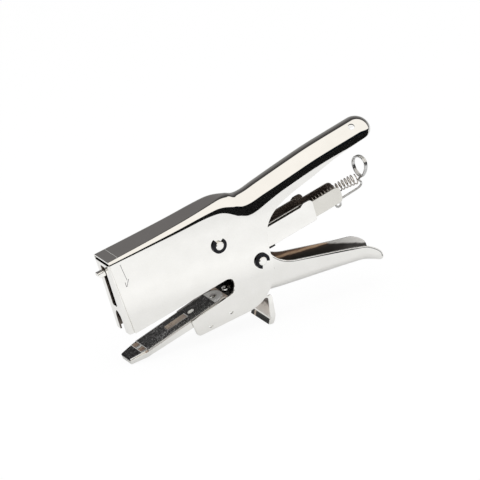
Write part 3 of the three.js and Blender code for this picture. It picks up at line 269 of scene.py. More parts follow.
def finish_etched():
    """The clinch plate's rolled surface: dark mirror broken up by fine pits and scuffs, with a painted
    highlight as a lighter cloud in the middle.
    """
    middle_x, middle_reach = 18, 16
    greys = [
        (0.42, (0.06, 0.06, 0.058)),
        (0.53, (0.15, 0.15, 0.145)),
        (0.59, (0.4, 0.41, 0.42)),
        (0.65, (0.95, 0.95, 0.95)),
    ]
    material, t = new_material("clinch_mirror")
    x = plier_place(t)[0]
    pits = noise(t, mapped(t, (0.6, 1, 1)), 1500, 3, 0.65)
    scuff = noise(t, mapped(t, (0.35, 1, 1)), 620, 3, 0.7)
    cloud = noise(t, mapped(t), 150, 2)
    # Painted highlight: the tone lightens towards the middle of the plate.
    away = t.math("DIVIDE", t.math("ABSOLUTE", t.math("SUBTRACT", x, middle_x)), middle_reach)
    middle_highlight = t.ramp(away, [(0.0, 0.22), (1.0, 0.0)])
    level = t.math("ADD", t.math("MULTIPLY", pits, 0.85), t.math("MULTIPLY", scuff, 0.15))
    level = t.math("ADD", level, t.math("MULTIPLY", middle_highlight, t.math("SUBTRACT", cloud, 0.25)))
    rough = t.ramp(scuff, [(0.4, 0.14), (0.6, 0.24)])
    t.metal(t.ramp(level, greys), rough, 1.0, Normal=t.bump(level, 0.3))
    return material


def finish_heel_shade():
    """The foot's upright web in painted shade: clear plate at the table that darkens to near black under the
    cheeks.
    """
    web_foot, web_height = -41, 14
    # Painted shade, darkening the web towards the cheeks above it.
    tones = [
        (0.0, (0.95, 0.9, 0.84)),
        (0.45, (0.8, 0.72, 0.65)),
        (0.62, (0.13, 0.1, 0.085)),
        (1.0, (0.05, 0.04, 0.035)),
    ]
    material, t = new_material("heel_painted_shade")
    z = plier_place(t)[2]
    height = t.share(t.math("ADD", z, wander(t, 300, 3, 6)), web_foot, web_height)
    t.metal(t.ramp(height, tones), t.ramp(height, [(0, 0.2), (1, 0.3)]), 0.3)
    return material


def finish_heel_lip_shade():
    """The foot's turned-under lip: near black painted shade with one tan streak of painted reflection towards
    its far end.
    """
    # Painted shade, with one streak of painted reflection.
    dark = (0.012, 0.011, 0.01)
    tan = (0.7, 0.58, 0.48)
    lip_half = 12
    material, t = new_material("heel_lip_shade")
    y = plier_place(t)[1]
    across = t.math("DIVIDE", t.math("ADD", y, wander(t, 420, 2, 3)), lip_half)
    t.metal(t.ramp(across, [(0.0, dark), (0.42, dark), (0.5, tan), (0.62, tan), (0.7, dark)]), 0.3, 0.3)
    return material


# Light tone, dark tone and roughness of the bright plate, then radii of rounded edges in metres.
NICKEL = ((0.94, 0.932, 0.905), (0.89, 0.882, 0.852), 0.035)
HAIRLINE = 0.00002
FINE_EDGE = 0.00005

nickel = finish_metal("nickel_plate", *NICKEL)
# Painted shade: a darker, duller copy of the nickel for the driver parts inside the head.
nickel_shaded = finish_metal("nickel_plate_painted_shade", (0.8, 0.78, 0.74), (0.66, 0.63, 0.58), 0.18, edge=0.00012)
blackened = finish_metal("black_oxide", (0.035, 0.036, 0.04), (0.012, 0.012, 0.014), 0.22)
wire_steel = finish_metal("drawn_wire", (0.82, 0.8, 0.76), (0.6, 0.57, 0.52), 0.14, edge=0.00003)
heel_lip_shade = finish_heel_lip_shade()
heel_shade = finish_heel_shade()
inside_shade = finish_inside_shade()
etched = finish_etched()
# Painted shade: near black for gaps, holes, recesses and edges where shade falls.
black_shade = finish_metal("black_painted_shade", (0.05, 0.05, 0.05), (0.02, 0.02, 0.02), 0.3, edge=FINE_EDGE)
# Painted shade: umber brown for the staple pockets, the follower and the magazine's front ends.
umber_shade = finish_metal("umber_painted_shade", (0.48, 0.36, 0.28), (0.26, 0.18, 0.135), 0.3, FINE_EDGE, 0.25)
# Painted shade: tan on the arm's top under the plate, seen through its window.
tan_shade = finish_metal("tan_shade", (0.62, 0.53, 0.46), (0.4, 0.31, 0.25), 0.3, FINE_EDGE, 0.3)
# Painted shade: dark brown inside the magazine and on the guide's rear faces.
coal_shade = finish_metal("coal_painted_shade", (0.2, 0.16, 0.135), (0.05, 0.038, 0.032), 0.25, FINE_EDGE, 0.3)
rail_plate = finish_metal("rail_plate", (0.76, 0.745, 0.7), (0.7, 0.685, 0.64), 0.08)
ring_wire = finish_metal("ring_wire", (0.72, 0.72, 0.71), (0.5, 0.5, 0.5), 0.06, edge=HAIRLINE)
# Painted highlight: a pale, less metallic plate that reads bright on the roof seam, the plate's tongue and
# the raised rims.
painted_highlight = finish_metal("painted_highlight", (0.92, 0.91, 0.89), (0.8, 0.79, 0.76), 0.2, metallic=0.25)
grip_plate = finish_metal("grip_plate", *NICKEL, edge=0.0005)
# Painted shade: grey in the grooves of the engraved marks.
groove_shade = finish_metal("groove_painted_shade", (0.3, 0.3, 0.3), (0.2, 0.2, 0.2), 0.3)
coil_wire = finish_metal("coil_wire", (0.8, 0.76, 0.7), (0.3, 0.26, 0.23), 0.12, edge=HAIRLINE)


# ---------------------------------------------------------------- mesh helpers
def link(obj):
    bpy.context.scene.collection.objects.link(obj)
    return obj


def new_mesh(name, points, faces):
    """A mesh object from points in plier millimetres."""
    mesh = bpy.data.meshes.new(name)
    mesh.from_pydata([TO_ROW @ Vector(p) for p in points], [], faces)
    mesh.validate()
    return link(bpy.data.objects.new(name, mesh))


def applied(obj):
    """The object with its modifiers made real."""
    bpy.context.view_layer.update()
    graph = bpy.context.evaluated_depsgraph_get()
    mesh = bpy.data.meshes.new_from_object(obj.evaluated_get(graph))
    obj.modifiers.clear()
    obj.data = mesh
    return obj


def carve(obj, tool, operation="DIFFERENCE"):
    """Cuts with the tool, joins it or keeps what lies in both; the tool is used up."""
    step = obj.modifiers.new("carve", "BOOLEAN")
    step.operation = operation
    step.solver = "EXACT"
    step.object = tool
    applied(obj)
    bpy.data.objects.remove(tool)
    return obj


def smooth(obj, angle=30):
    """Smooth shading that stays sharp where faces meet at more than the angle."""
    mesh = obj.data
    mesh.polygons.foreach_set("use_smooth", [True] * len(mesh.polygons))
    mesh.set_sharp_from_angle(angle=math.radians(angle))
    weighted = obj.modifiers.new("normals", "WEIGHTED_NORMAL")
    weighted.keep_sharp = True
    weighted.weight = 100
    return applied(obj)


def dress(obj, material, body, slot, *replaced):
    """Gives a piece its material and the body it rides on, and hides the CAD nodes it stands for; the slot is
    not used.
    """
    obj.data.materials.clear()
    obj.data.materials.append(material)
    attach(obj, body)
    if replaced:
        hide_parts(*replaced)
    return obj


def paint(obj, material, chosen):
    """Gives the faces that `chosen` picks, by centre and normal in the plier's frame, another material."""
    obj.data.materials.append(material)
    slot = len(obj.data.materials) - 1
    turn = FROM_ROW.to_3x3().normalized()
    for face in obj.data.polygons:
        if chosen(FROM_ROW @ face.center, turn @ face.normal):
            face.material_index = slot
    return obj


def ring_faces(count, rings=2, turned=False):
    """Faces that join each ring of points to the next and close both ends; `turned` suits clockwise rings."""
    faces = []
    for ring in range(rings - 1):
        for i in range(count):
            a = ring * count + i
            b = ring * count + (i + 1) % count
            faces.append((a, a + count, b + count, b) if turned else (a, b, b + count, a + count))
    first = range(count)
    last = range((rings - 1) * count, rings * count)
    ends = (first, reversed(last)) if turned else (reversed(first), last)
    return faces + [tuple(end) for end in ends]


def facing(faces, flip):
    """The faces as they are, or all looking the other way."""
    return [tuple(reversed(face)) for face in faces] if flip else faces


def clockwise(outline):
    following = outline[1:] + outline[:1]
    return sum(a[0] * b[1] - b[0] * a[1] for a, b in zip(outline, following)) < 0


def slab(name, plan, z0, z1):
    """An outline [x, y] pushed up from z0 to z1."""
    points = [(x, y, z) for z in (z0, z1) for x, y in plan]
    return new_mesh(name, points, facing(ring_faces(len(plan)), clockwise(plan)))


def prism(name, shape, y0, y1):
    """A side-view outline [x, z] pushed through the width."""
    points = [(x, y, z) for y in (y0, y1) for x, z in shape]
    return new_mesh(name, points, facing(ring_faces(len(shape)), not clockwise(shape)))


def bar(name, section, x0, x1):
    """An outline [y, z] pushed along from x0 to x1."""
    points = [(x, y, z) for x in (x0, x1) for y, z in section]
    return new_mesh(name, points, facing(ring_faces(len(section)), clockwise(section)))


def loft(name, rings):
    """A skin over sections of equally many points: rings are (x, [(y, z), ...])."""
    count = len(rings[0][1])
    points = [(x, y, z) for x, ring in rings for y, z in ring]
    return new_mesh(name, points, ring_faces(count, len(rings), turned=True))


def cylinder(name, at, axis, radius, length, sides=48):
    """A closed cylinder centred on a point."""
    along = Vector(axis).normalized()
    side = along.orthogonal().normalized()
    other = along.cross(side)
    points = []
    for end in (-0.5, 0.5):
        for i in range(sides):
            a = 2 * math.pi * i / sides
            spot = Vector(at) + along * (length * end) + side * (radius * math.cos(a))
            points.append(spot + other * (radius * math.sin(a)))
    return new_mesh(name, points, ring_faces(sides))


def wire(name, path, radius, sides):
    """A round wire along a list of points, closed at both ends."""
    spots = [Vector(p) for p in path]
    last = len(spots) - 1
    along = [(spots[min(i + 1, last)] - spots[max(i - 1, 0)]).normalized() for i in range(last + 1)]
    side = along[0].orthogonal().normalized()
    points = []
    for spot, way in zip(spots, along):
        side = (side - way * side.dot(way)).normalized()
        other = way.cross(side)
        for i in range(sides):
            a = 2 * math.pi * i / sides
            points.append(spot + side * (radius * math.cos(a)) + other * (radius * math.sin(a)))
    return new_mesh(name, points, ring_faces(sides, len(spots)))


# ---------------------------------------------------------------- lines and curves
def arc(start, end, steps):
    """Evenly spaced values with both ends."""
    return [start + (end - start) * i / steps for i in range(steps + 1)]


def between(start, end, step):
    """Evenly spaced values about a step apart, without the end."""
    count = max(1, round((end - start) / step))
    return [start + (end - start) * i / count for i in range(count)]


def quad_curve(a, b, c, steps=8):
    out = []
    for i in range(1, steps + 1):
        t = i / steps
        out.append(tuple((1 - t) ** 2 * p + 2 * t * (1 - t) * q + t * t * r for p, q, r in zip(a, b, c)))
    return out


def cubic_curve(a, b, c, d, steps=10):
    out = []
    for i in range(1, steps + 1):
        t = i / steps
        k = ((1 - t) ** 3, 3 * t * (1 - t) ** 2, 3 * t * t * (1 - t), t**3)
        out.append(tuple(k[0] * p + k[1] * q + k[2] * r + k[3] * s for p, q, r, s in zip(a, b, c, d)))
    return out


def catmull(a, b, c, d, t):
    square = (2 * a - 5 * b + 4 * c - d) * t * t
    return 0.5 * (2 * b + (c - a) * t + square + (3 * b - a - 3 * c + d) * t**3)


def spline(points, steps=8):
    """Catmull-Rom through the points, as three.js draws a SplineCurve."""
    out = []
    last = len(points) - 1
    for i in range(last):
        four = (points[max(i - 1, 0)], points[i], points[i + 1], points[min(i + 2, last)])
        for s in range(1, steps + 1):
            out.append(tuple(catmull(*values, s / steps) for values in zip(*four)))
    return out


def through(knots):
    """A function that runs smoothly through (x, value) knots and straight on beyond both ends."""
    last = len(knots) - 1

    def slope(i):
        a = knots[max(i - 1, 0)]
        b = knots[min(i + 1, last)]
        return (b[1] - a[1]) / (b[0] - a[0])

    def value(x):
        if x <= knots[0][0]:
            return knots[0][1] + slope(0) * (x - knots[0][0])
        if x >= knots[last][0]:
            return knots[last][1] + slope(last) * (x - knots[last][0])
        i = next(k for k in range(last) if knots[k + 1][0] > x)
        span = knots[i + 1][0] - knots[i][0]
        t = (x - knots[i][0]) / span
        h = 3 * t * t - 2 * t**3
        return (
            knots[i][1] * (1 - h)
            + knots[i + 1][1] * h
            + slope(i) * span * t * (1 - t) ** 2
            - slope(i + 1) * span * t * t * (1 - t)
        )

    return value


def rounded_box(x0, x1, half, radius):
    """Plan of an opening with round corners, as wide on both sides of the middle."""
    corners = [
        (x1 - radius, half - radius),
        (x0 + radius, half - radius),
        (x0 + radius, radius - half),
        (x1 - radius, radius - half),
    ]
    out = []
    for quarter, (x, y) in enumerate(corners):
        for a in arc(quarter * math.pi / 2, (quarter + 1) * math.pi / 2, 5):
            out.append((x + radius * math.cos(a), y + radius * math.sin(a)))
    return out


# ---------------------------------------------------------------- head and upper handle
BODY_HALF = 10.6
BODY_SHEET = 1.1
NOSE = 52.0
WAIST = 43.7
HANDLE_TOP = 48.594
TIP_X = 187.788
TIP_Z = HANDLE_TOP - BODY_HALF
TIP_EASE = 1.45
ROUND_FROM = 91
NEARLY = 0.999
ARM_TIP_X = -8.4
ARM_TIP_Z = -17.5
ARM_SLOPE = 0.081
LIP_X = 37.2
PIN_HOLE = 2.88
# Cutting shapes reach past both cheeks: a hole's length and half the width of other cuts.
THROUGH = 40
TRIM_HALF = 12
CUT_HALF = 14
roof_line = through(
    [
        (0, NOSE),
        (30, NOSE - 1.4),
        (55, NOSE - 2.2),
        (79, NOSE - 2.4),
        (86, NOSE - 3),
        (92, (NOSE + WAIST) / 2 - 0.6),
        (97, WAIST + 0.8),
        (103, WAIST),
        (112, WAIST + 0.9),
        (136, HANDLE_TOP - 1.9),
        (155, HANDLE_TOP - 0.6),
        (TIP_X, HANDLE_TOP),
    ]
)
roof_corner = through([(0, 2.0), (44, 3.45), (79, 5.6), (ROUND_FROM, BODY_HALF)])
bend_ease = through(
    [(-5, TIP_EASE), (70, 1.7), (84, 2.3), (96, 2.7), (108, 2.3), (124, 1.6), (200, TIP_EASE)]
)


def folded(half, top, opened, corner, ease):
    """Section of the folded body: its bends start wide at the cheeks and tighten towards the roof."""
    change = math.radians(18)
    tight = corner / (ease * (1 - math.cos(change)) + math.cos(change))
    wide = tight * ease
    start = top - tight * (1 - math.sin(change)) - wide * math.sin(change)
    bend = [(half - wide * (1 - math.cos(a)), start + wide * math.sin(a)) for a in arc(0, change, 5)[:-1]]
    for a in arc(change, math.pi / 2, 14):
        bend.append((half - corner + tight * math.cos(a), top - tight * (1 - math.sin(a))))
    return [(-half, opened)] + [(-y, z) for y, z in bend] + bend[::-1] + [(half, opened)]


def body_solid(name, inset):
    """The folded head and handle as a solid, drawn in by the inset all round."""
    half = BODY_HALF - inset
    depth = -60 - inset
    bend_start, bend_end = 76, 110
    tip_steps, tip_turn = 18, math.radians(87)
    rings = []
    straight = between(-2 + inset * 0.1, bend_start, 4)
    for x in straight + between(bend_start, bend_end, 0.8) + between(bend_end, TIP_X, 3):
        corner = roof_corner(x) if x < ROUND_FROM else BODY_HALF
        corner = min(max(corner - inset, 0.6), half * NEARLY)
        rings.append((x, folded(half, roof_line(x) - inset, depth, corner, bend_ease(x))))
    for i in range(tip_steps + 1):
        a = i / tip_steps * tip_turn
        width = half * math.cos(a)
        section = folded(width, TIP_Z + width, depth, width * NEARLY, TIP_EASE)
        rings.append((TIP_X + half * math.sin(a), section))
    return loft(name, rings)


def arm_line(x):
    """Height of the clinch plate's face, which slopes up towards the pins."""
    return ARM_TIP_Z + ARM_SLOPE * (x - ARM_TIP_X)


def throat_floor(x):
    return arm_line(x) - 0.5


def body_outline():
    """Side view of the two cheeks with the throat between them and the clinch arm."""
    above = 70
    brow = -0.8
    rear = TIP_X + BODY_HALF
    floor = throat_floor(LIP_X)
    path = [(0, brow), (0, above), (rear + 4, above), (rear + 4, TIP_Z + 6), (rear, TIP_Z + 5)]
    path += quad_curve(path[-1], (rear - 0.6, TIP_Z + 0.4), (rear - 6, TIP_Z - 0.8))
    under_handle = [(169, 35.6), (146, 31.8), (128, 29), (115.5, 25), (107.2, 18), (103.2, 7), (102.3, -4)]
    path += spline([path[-1]] + under_handle)
    path += spline([path[-1], (101.2, -11), (98.4, -17), (93.4, -23), (85.6, -27.8), (77, -29.3)])
    path += [(40.4, -26.3)]
    path += quad_curve(path[-1], (38, -26.2), (37.6, -23.6))
    path += [(LIP_X, floor - 1)]
    path += quad_curve(path[-1], (LIP_X, floor), (LIP_X + 1, floor), 4)
    path += [(68.5, throat_floor(68.5))]
    path += cubic_curve(path[-1], (72.5, throat_floor(73)), (73.6, -4), (72, -2.4))
    path += quad_curve(path[-1], (70.5, -0.7), (67.5, brow))
    return path


def lance_shape(x, z):
    """A crescent slit, as where a cheek is lanced."""
    outer, inner, shift = 1.65, 1.0, 0.15
    sweep = arc(0, math.pi, 12)
    out = [(x - outer * math.cos(a), z - outer * math.sin(a)) for a in sweep]
    return out + [(x + inner * math.cos(a), z + shift - inner * math.sin(a)) for a in sweep]


def punch(sheet, x, z, radius):
    """A round hole through both cheeks."""
    carve(sheet, cylinder("hole", (x, 0, z), (0, 1, 0), radius, THROUGH))


HANGING_LEAN = math.radians(36)
HANGING_AT = Vector((TIP_X - 3.5, 0, TIP_Z))
HANGING_HOLE = 2.1
MARK_TOP = 47.5
MARK_LINES = (
    [(7.1, 35.5), (7.4, 35.5), (6.8, MARK_TOP), (6.5, MARK_TOP)],
    [(5.6, 31.4), (5.9, 31.3), (8.6, 35.6), (8.2, 35.7)],
    [(5.6, 31.4), (5.8, 34.6), (5.4, 34.6), (5.2, 31.4)],
)
SEAM_X = (7.3, 7.5)
SEAM_HALF = 8.4


def hanging_way(side):
    """The way a hanging hole looks, on one side of the handle's end."""
    return Vector((0, side * math.sin(HANGING_LEAN), math.cos(HANGING_LEAN)))


def make_shell():
    """One folded sheet: both cheeks, the roof and the upper handle."""
    shell = body_solid("body_shell_sheet", 0)
    carve(shell, body_solid("hollow", BODY_SHEET))
    carve(shell, prism("trim", body_outline(), -TRIM_HALF, TRIM_HALF), "INTERSECT")
    for x, z in (FRONT_PIN, REAR_PIN):
        punch(shell, x, z, PIN_HOLE)
    for side in (-1, 1):
        out = hanging_way(side)
        carve(shell, cylinder("hole", HANGING_AT + out * BODY_HALF, out, HANGING_HOLE, 8))
    for x, z in ((48.2, -23.4), (64, -22.4)):
        carve(shell, prism("lance", lance_shape(x, z), -CUT_HALF, CUT_HALF))
    for line in MARK_LINES:
        carve(shell, prism("mark", line, -BODY_HALF - 0.1, -BODY_HALF + 0.1))
    x0, x1 = SEAM_X
    low = roof_line(7.4) - 0.08
    carve(shell, prism("mark", [(x0, low), (x1, low), (x1, low + 1), (x0, low + 1)], -SEAM_HALF, SEAM_HALF))
    smooth(shell)
    dress(shell, nickel, "frame", "nickel", "body_shell")

    def mark(at, way):
        return -10.56 < at.y < -10.3 and 5 < at.x < 9 and 30 < at.z < MARK_TOP + 0.5

    def seam(at, way):
        return x0 - 0.1 < at.x < x1 + 0.1 and at.z > 50.5 and abs(at.y) < SEAM_HALF - 0.1

    def bore(at, way):
        out = hanging_way(math.copysign(1, at.y))
        near = (at - HANGING_AT - out * (BODY_HALF - 0.5)).length < HANGING_HOLE + 0.3
        return near and abs(way.dot(out)) < 0.4

    # Painted shade in the marks' grooves, a painted highlight along the roof seam, and painted shade inside
    # the hanging holes.
    paint(shell, groove_shade, mark)
    paint(shell, painted_highlight, seam)
    paint(shell, black_shade, bore)


make_shell()

# ---------------------------------------------------------------- lower handle
HANDLE_OUT = BODY_HALF - BODY_SHEET - 0.2
GRIP_SHEET = 1.0
GRIP_REAR = (169.5, -48.9)
GRIP_CORNER = 6.5
RIVET_HOLE = 2.04
SHADE_LINE_WIRE = 0.24
PIVOT_X, PIVOT_Z = REAR_PIN
grip_bottom = through(
    [
        (PIVOT_X - 9.2, PIVOT_Z - 21.4),
        (PIVOT_X + 1.2, PIVOT_Z - 24.8),
        (GRIP_REAR[0] - 58.8, GRIP_REAR[1] + 18.6),
        (GRIP_REAR[0] - 25.2, GRIP_REAR[1] + 10.8),
        (GRIP_REAR[0] - 13.9, GRIP_REAR[1] + 8.2),
        (GRIP_REAR[0] - 8.3, GRIP_REAR[1] + 6.9),
        (GRIP_REAR[0] - 3.3, GRIP_REAR[1] + 4.4),
        (GRIP_REAR[0] + 1.5, GRIP_REAR[1] + 1.4),
        (GRIP_REAR[0] + 7.5, GRIP_REAR[1] - 2.4),
    ]
)
grip_half = through(
    [
        (PIVOT_X, HANDLE_OUT),
        (GRIP_REAR[0] - 30, HANDLE_OUT),
        (GRIP_REAR[0] - 16, HANDLE_OUT + 0.3),
        (GRIP_REAR[0] - 5, HANDLE_OUT + 1.3),
        (GRIP_REAR[0] + 6, HANDLE_OUT + 2.2),
    ]
)


def trough(half, bottom, opened, corner, steps=12):
    """Section of a channel that is open above."""
    bend = []
    for i in range(steps + 1):
        a = i / steps * math.pi / 2
        bend.append((half - corner + corner * math.cos(a), bottom + corner * (1 - math.sin(a))))
    return [(half, opened)] + bend + [(-y, z) for y, z in bend[::-1]] + [(-half, opened)]


def grip_solid(name, inset):
    """The squeezed handle's channel as a solid, drawn in by the inset."""
    rings = []
    for x in between(84, 150, 3) + between(150, 180, 1):
        rings.append((x, trough(grip_half(x) - inset, grip_bottom(x) + inset, 30, GRIP_CORNER - inset)))
    return loft(name, rings)


def grip_outline():
    """Side view of the squeezed handle: a round boss at the pivot and a belly at the rear end."""
    boss = 7.6
    rear_x, rear_z = GRIP_REAR
    low = rear_z - 20
    path = [(PIVOT_X - 3.8, low), (rear_x, low), (rear_x, rear_z)]
    path += cubic_curve(
        path[-1], (rear_x + 4.5, rear_z + 2.4), (rear_x + 4.9, rear_z + 7.4), (rear_x + 2.3, rear_z + 10.7)
    )
    path += cubic_curve(
        path[-1], (rear_x, rear_z + 13.9), (rear_x - 3.5, rear_z + 16.9), (rear_x - 8, rear_z + 18.3)
    )
    path += [(PIVOT_X + 24.3, PIVOT_Z - 13.8)]
    path += cubic_curve(
        path[-1], (PIVOT_X + 17.3, PIVOT_Z - 11.5), (PIVOT_X + 11.3, PIVOT_Z - 7.7), (PIVOT_X + boss, PIVOT_Z)
    )
    path += [(PIVOT_X + boss * math.cos(a), PIVOT_Z + boss * math.sin(a)) for a in arc(0, math.pi, 24)[1:]]
    path += [(PIVOT_X - 6.8, PIVOT_Z - 12.2)]
    path += quad_curve(path[-1], (PIVOT_X - 6.4, PIVOT_Z - 18.2), (PIVOT_X - 3.8, PIVOT_Z - 21.2))
    return path


def make_lip_shade_lines():
    """A hairline of painted shade along the channel's rim on both walls, from near its rear end to the boss.
    """
    inset, sunk = 0.75, 0.16
    line = grip_outline()[6:34]
    for side in (-1, 1):
        path = []
        for before, (x, z), after in zip(line, line[1:], line[2:]):
            dx, dz = after[0] - before[0], after[1] - before[1]
            size = math.hypot(dx, dz)
            x, z = x - dz / size * inset, z + dx / size * inset
            path.append((x, side * (grip_half(x) - sunk), z))
        dress(smooth(wire("lip_shade_line", path, SHADE_LINE_WIRE, 8), 60), black_shade, "lever", "nickel")


def make_lower_handle():
    grip = grip_solid("lower_handle_sheet", 0)
    carve(grip, grip_solid("hollow", GRIP_SHEET))
    carve(grip, prism("trim", grip_outline(), -CUT_HALF, CUT_HALF), "INTERSECT")
    punch(grip, PIVOT_X, PIVOT_Z, PIN_HOLE)
    for x, z in ((PIVOT_X + 4.6, PIVOT_Z - 9.4), (PIVOT_X - 2.6, PIVOT_Z - 12.4)):
        punch(grip, x, z, RIVET_HOLE)
    smooth(grip)
    dress(grip, grip_plate, "lever", "nickel", "lower_handle")

    def inner(at, way):
        return way.y * at.y < -0.25 * abs(at.y) or (way.z > 0.3 and abs(at.y) < grip_half(at.x) - 1.6)

    # Painted shade and a painted reflection on the channel's inner faces.
    paint(grip, inside_shade, inner)
    make_lip_shade_lines()


make_lower_handle()

# ---------------------------------------------------------------- pusher wire and spring
RAIL_FLOOR = 2.5
RAIL_REAR_X = 163
SPRING_FRONT_X = 5.5 + 12 + 0.65
SPRING_REAR_X = 177.6
SPRING_RADIUS = 2.78
SPRING_AXIS = RAIL_FLOOR + 0.8 + 0.2 + 3.1
SPRING_PITCH = 2.3
SPRING_WIRE = 0.42
HOOK_WIRE = 1.4


def make_spring():
    """The follower's spring: it rises behind the head and widens where it leaves the rail."""
    around_steps = 16
    rise, rise_from, rise_over = 3.2, 104, 14
    sag, widen = 1.2, 0.22
    free = SPRING_REAR_X - SPRING_FRONT_X
    turns = round(free / SPRING_PITCH)
    path = []
    for i in range(turns * around_steps + 1):
        t = i / (turns * around_steps)
        x = SPRING_FRONT_X + free * t
        lift = max(0.0, x - RAIL_REAR_X) / (SPRING_REAR_X - RAIL_REAR_X)
        a = 2 * math.pi * turns * t
        around = SPRING_RADIUS * (1 + widen * lift)
        raised = rise * min(1.0, max(0.0, (x - rise_from) / rise_over)) - sag * lift**2
        path.append((x, around * math.sin(a), SPRING_AXIS + raised + around * math.cos(a)))
    spring = smooth(wire("pusher_spring", path, SPRING_WIRE, 8), 60)
    dress(spring, coil_wire, "loader", "spring", "follower_spring")
    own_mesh(spring)


def make_pull_hook():
    """The pusher's wire: a catch under the rail's rear end, a straight run and a ring of two turns."""
    under = RAIL_FLOOR - HOOK_WIRE / 2 - 0.3
    catch = RAIL_REAR_X - 2.2
    rise = SPRING_REAR_X + 2.4
    path = [
        (catch - 1.9, 0, under - 2.6),
        (catch - 1.4, 0, under - 3.8),
        (catch, 0, under - 4.3),
        (catch + 1.3, 0, under - 3.8),
        (catch + 1.6, 0, under - 2.3),
        (catch + 1.8, 0, under - 0.9),
        (catch + 2.8, 0, under),
        (catch + 5, 0, under),
        (rise - 8, 0, under + 0.2),
        (rise - 2.4, 0, under + 0.5),
        (rise, 0, under + 1.7),
        (rise + 0.2, 0, under + 3.6),
        (rise - 0.6, 0.5, under + 5.2),
    ]
    centre = Vector((rise + 3.1, 0, 13.6 + 1.4))
    sideways = Vector((1.8, -5.3, 0))
    upwards = Vector((1.7, 0, 6.7))
    normal = sideways.cross(upwards).normalized()
    steps = 44
    ring_start, ring_sweep = 0.2, 4 * math.pi - 0.3
    for i in range(steps + 1):
        a = ring_start + i / steps * ring_sweep
        spot = centre + sideways * (math.sin(a) * (1 - 0.2 * math.cos(a))) - upwards * math.cos(a)
        spot += normal * (HOOK_WIRE * (0.95 - 1.9 * i / steps))
        path.append(tuple(spot))
    hook = smooth(wire("pull_ring", [path[0]] + spline(path, 6), HOOK_WIRE / 2, 16), 60)
    dress(hook, ring_wire, "loader", "nickel", "pull_hook")


make_spring()
make_pull_hook()

# ---------------------------------------------------------------- clinch plate
ARM_HALF = BODY_HALF - BODY_SHEET - 0.3
KNEE_X = 2.2
KNEE_WIDTH = 18.2
PLATE_MARGIN = 1.3
PLATE_HALF = ARM_HALF - PLATE_MARGIN
PLATE_THICK = 1.0
PLATE_FRONT = ARM_TIP_X + 0.3
TONGUE_X, TONGUE_TIP = 57, 66
KNEE_HALF = KNEE_WIDTH / 2 - PLATE_MARGIN
PLATE_KNOTS = [(PLATE_FRONT, 5.7), (KNEE_X, KNEE_HALF), (LIP_X, PLATE_HALF), (80, PLATE_HALF)]
POCKET_X = (0.4, 4.2)
POCKET_Y = (1.0, 6.9)
WINDOW_X, WINDOW_HALF, WINDOW_CORNER = (23.2, 38.3), 2.75, 0.8
OVAL_X, OVAL_HALF, OVAL_CORNER = (40.35, 44.85), 1.75, 1.74
RIVET_X, PLATE_RIVET = 60, 1.62
RIB_START, RIB_PITCH, RIB_COUNT, RIB_HALF = 4.6, 0.75, 80, 0.25


def plate_half(x):
    """Half the clinch plate's width."""
    for (x0, y0), (x1, y1) in zip(PLATE_KNOTS, PLATE_KNOTS[1:]):
        if x <= x1:
            return y0 + (y1 - y0) * (x - x0) / (x1 - x0)


def pocket(side):
    """A hollow that turns one leg of a staple: walls all round and a floor of two slopes."""
    low, high = sorted(side * y for y in POCKET_Y)
    face = arm_line(KNEE_X)
    edge, valley, top = face - 0.55, face - 0.95, face + 1
    section = [(high, edge), ((low + high) / 2, valley), (low, edge), (low, top), (high, top)]
    return bar("pocket", section, *POCKET_X)


def below(at):
    """How far a point lies under the plate's face."""
    return arm_line(at.x) - at.z


def in_pocket(at, way):
    return POCKET_X[0] < at.x < POCKET_X[1] and way.z > 0.5 and way.y < -0.05 and below(at) > 0.3


def make_plate():
    """The plate on the arm: staple pockets, a window, an oval hole, a rivet hole and a rear tongue."""
    front, rear, droop = -12, TONGUE_TIP + 2, 0.7
    under, over = -30, 5
    plan = [(x, -plate_half(x)) for x in (PLATE_FRONT, KNEE_X, LIP_X, TONGUE_X)]
    plan += quad_curve(plan[-1], (TONGUE_TIP, -PLATE_HALF), (TONGUE_TIP, 0))
    plan += quad_curve(plan[-1], (TONGUE_TIP, PLATE_HALF), (TONGUE_X, PLATE_HALF))
    plan += [(x, plate_half(x)) for x in (LIP_X, KNEE_X, PLATE_FRONT)]
    tip_z = arm_line(TONGUE_TIP)
    profile = [(front, arm_line(front)), (TONGUE_X, arm_line(TONGUE_X)), (rear, tip_z - droop)]
    profile += [(rear, tip_z - PLATE_THICK), (front, arm_line(front) - PLATE_THICK)]
    plate = prism("clinch_plate_etched", profile, -TRIM_HALF, TRIM_HALF)
    carve(plate, slab("plan", plan, under - 10, over), "INTERSECT")
    carve(plate, slab("window", rounded_box(*WINDOW_X, WINDOW_HALF, WINDOW_CORNER), under, over))
    carve(plate, slab("oval", rounded_box(*OVAL_X, OVAL_HALF, OVAL_CORNER), under, over))
    for side in (-1, 1):
        carve(plate, pocket(side))
    carve(plate, cylinder("hole", (RIVET_X, 0, -12), (0, 0, 1), PLATE_RIVET, 8, 24))
    smooth(plate)
    dress(plate, etched, "frame", "brushed", "clinch_plate")
    paint(plate, nickel, lambda at, way: way.z < 0.5 or below(at) > 0.3)
    # Painted highlight on the tongue, painted shadow on the front face, and painted shade in the pockets.
    paint(plate, painted_highlight, lambda at, way: way.z > 0.5 and at.x > TONGUE_X)
    paint(plate, black_shade, lambda at, way: way.x < -0.7 and at.x < ARM_TIP_X + 1)
    paint(plate, umber_shade, in_pocket)


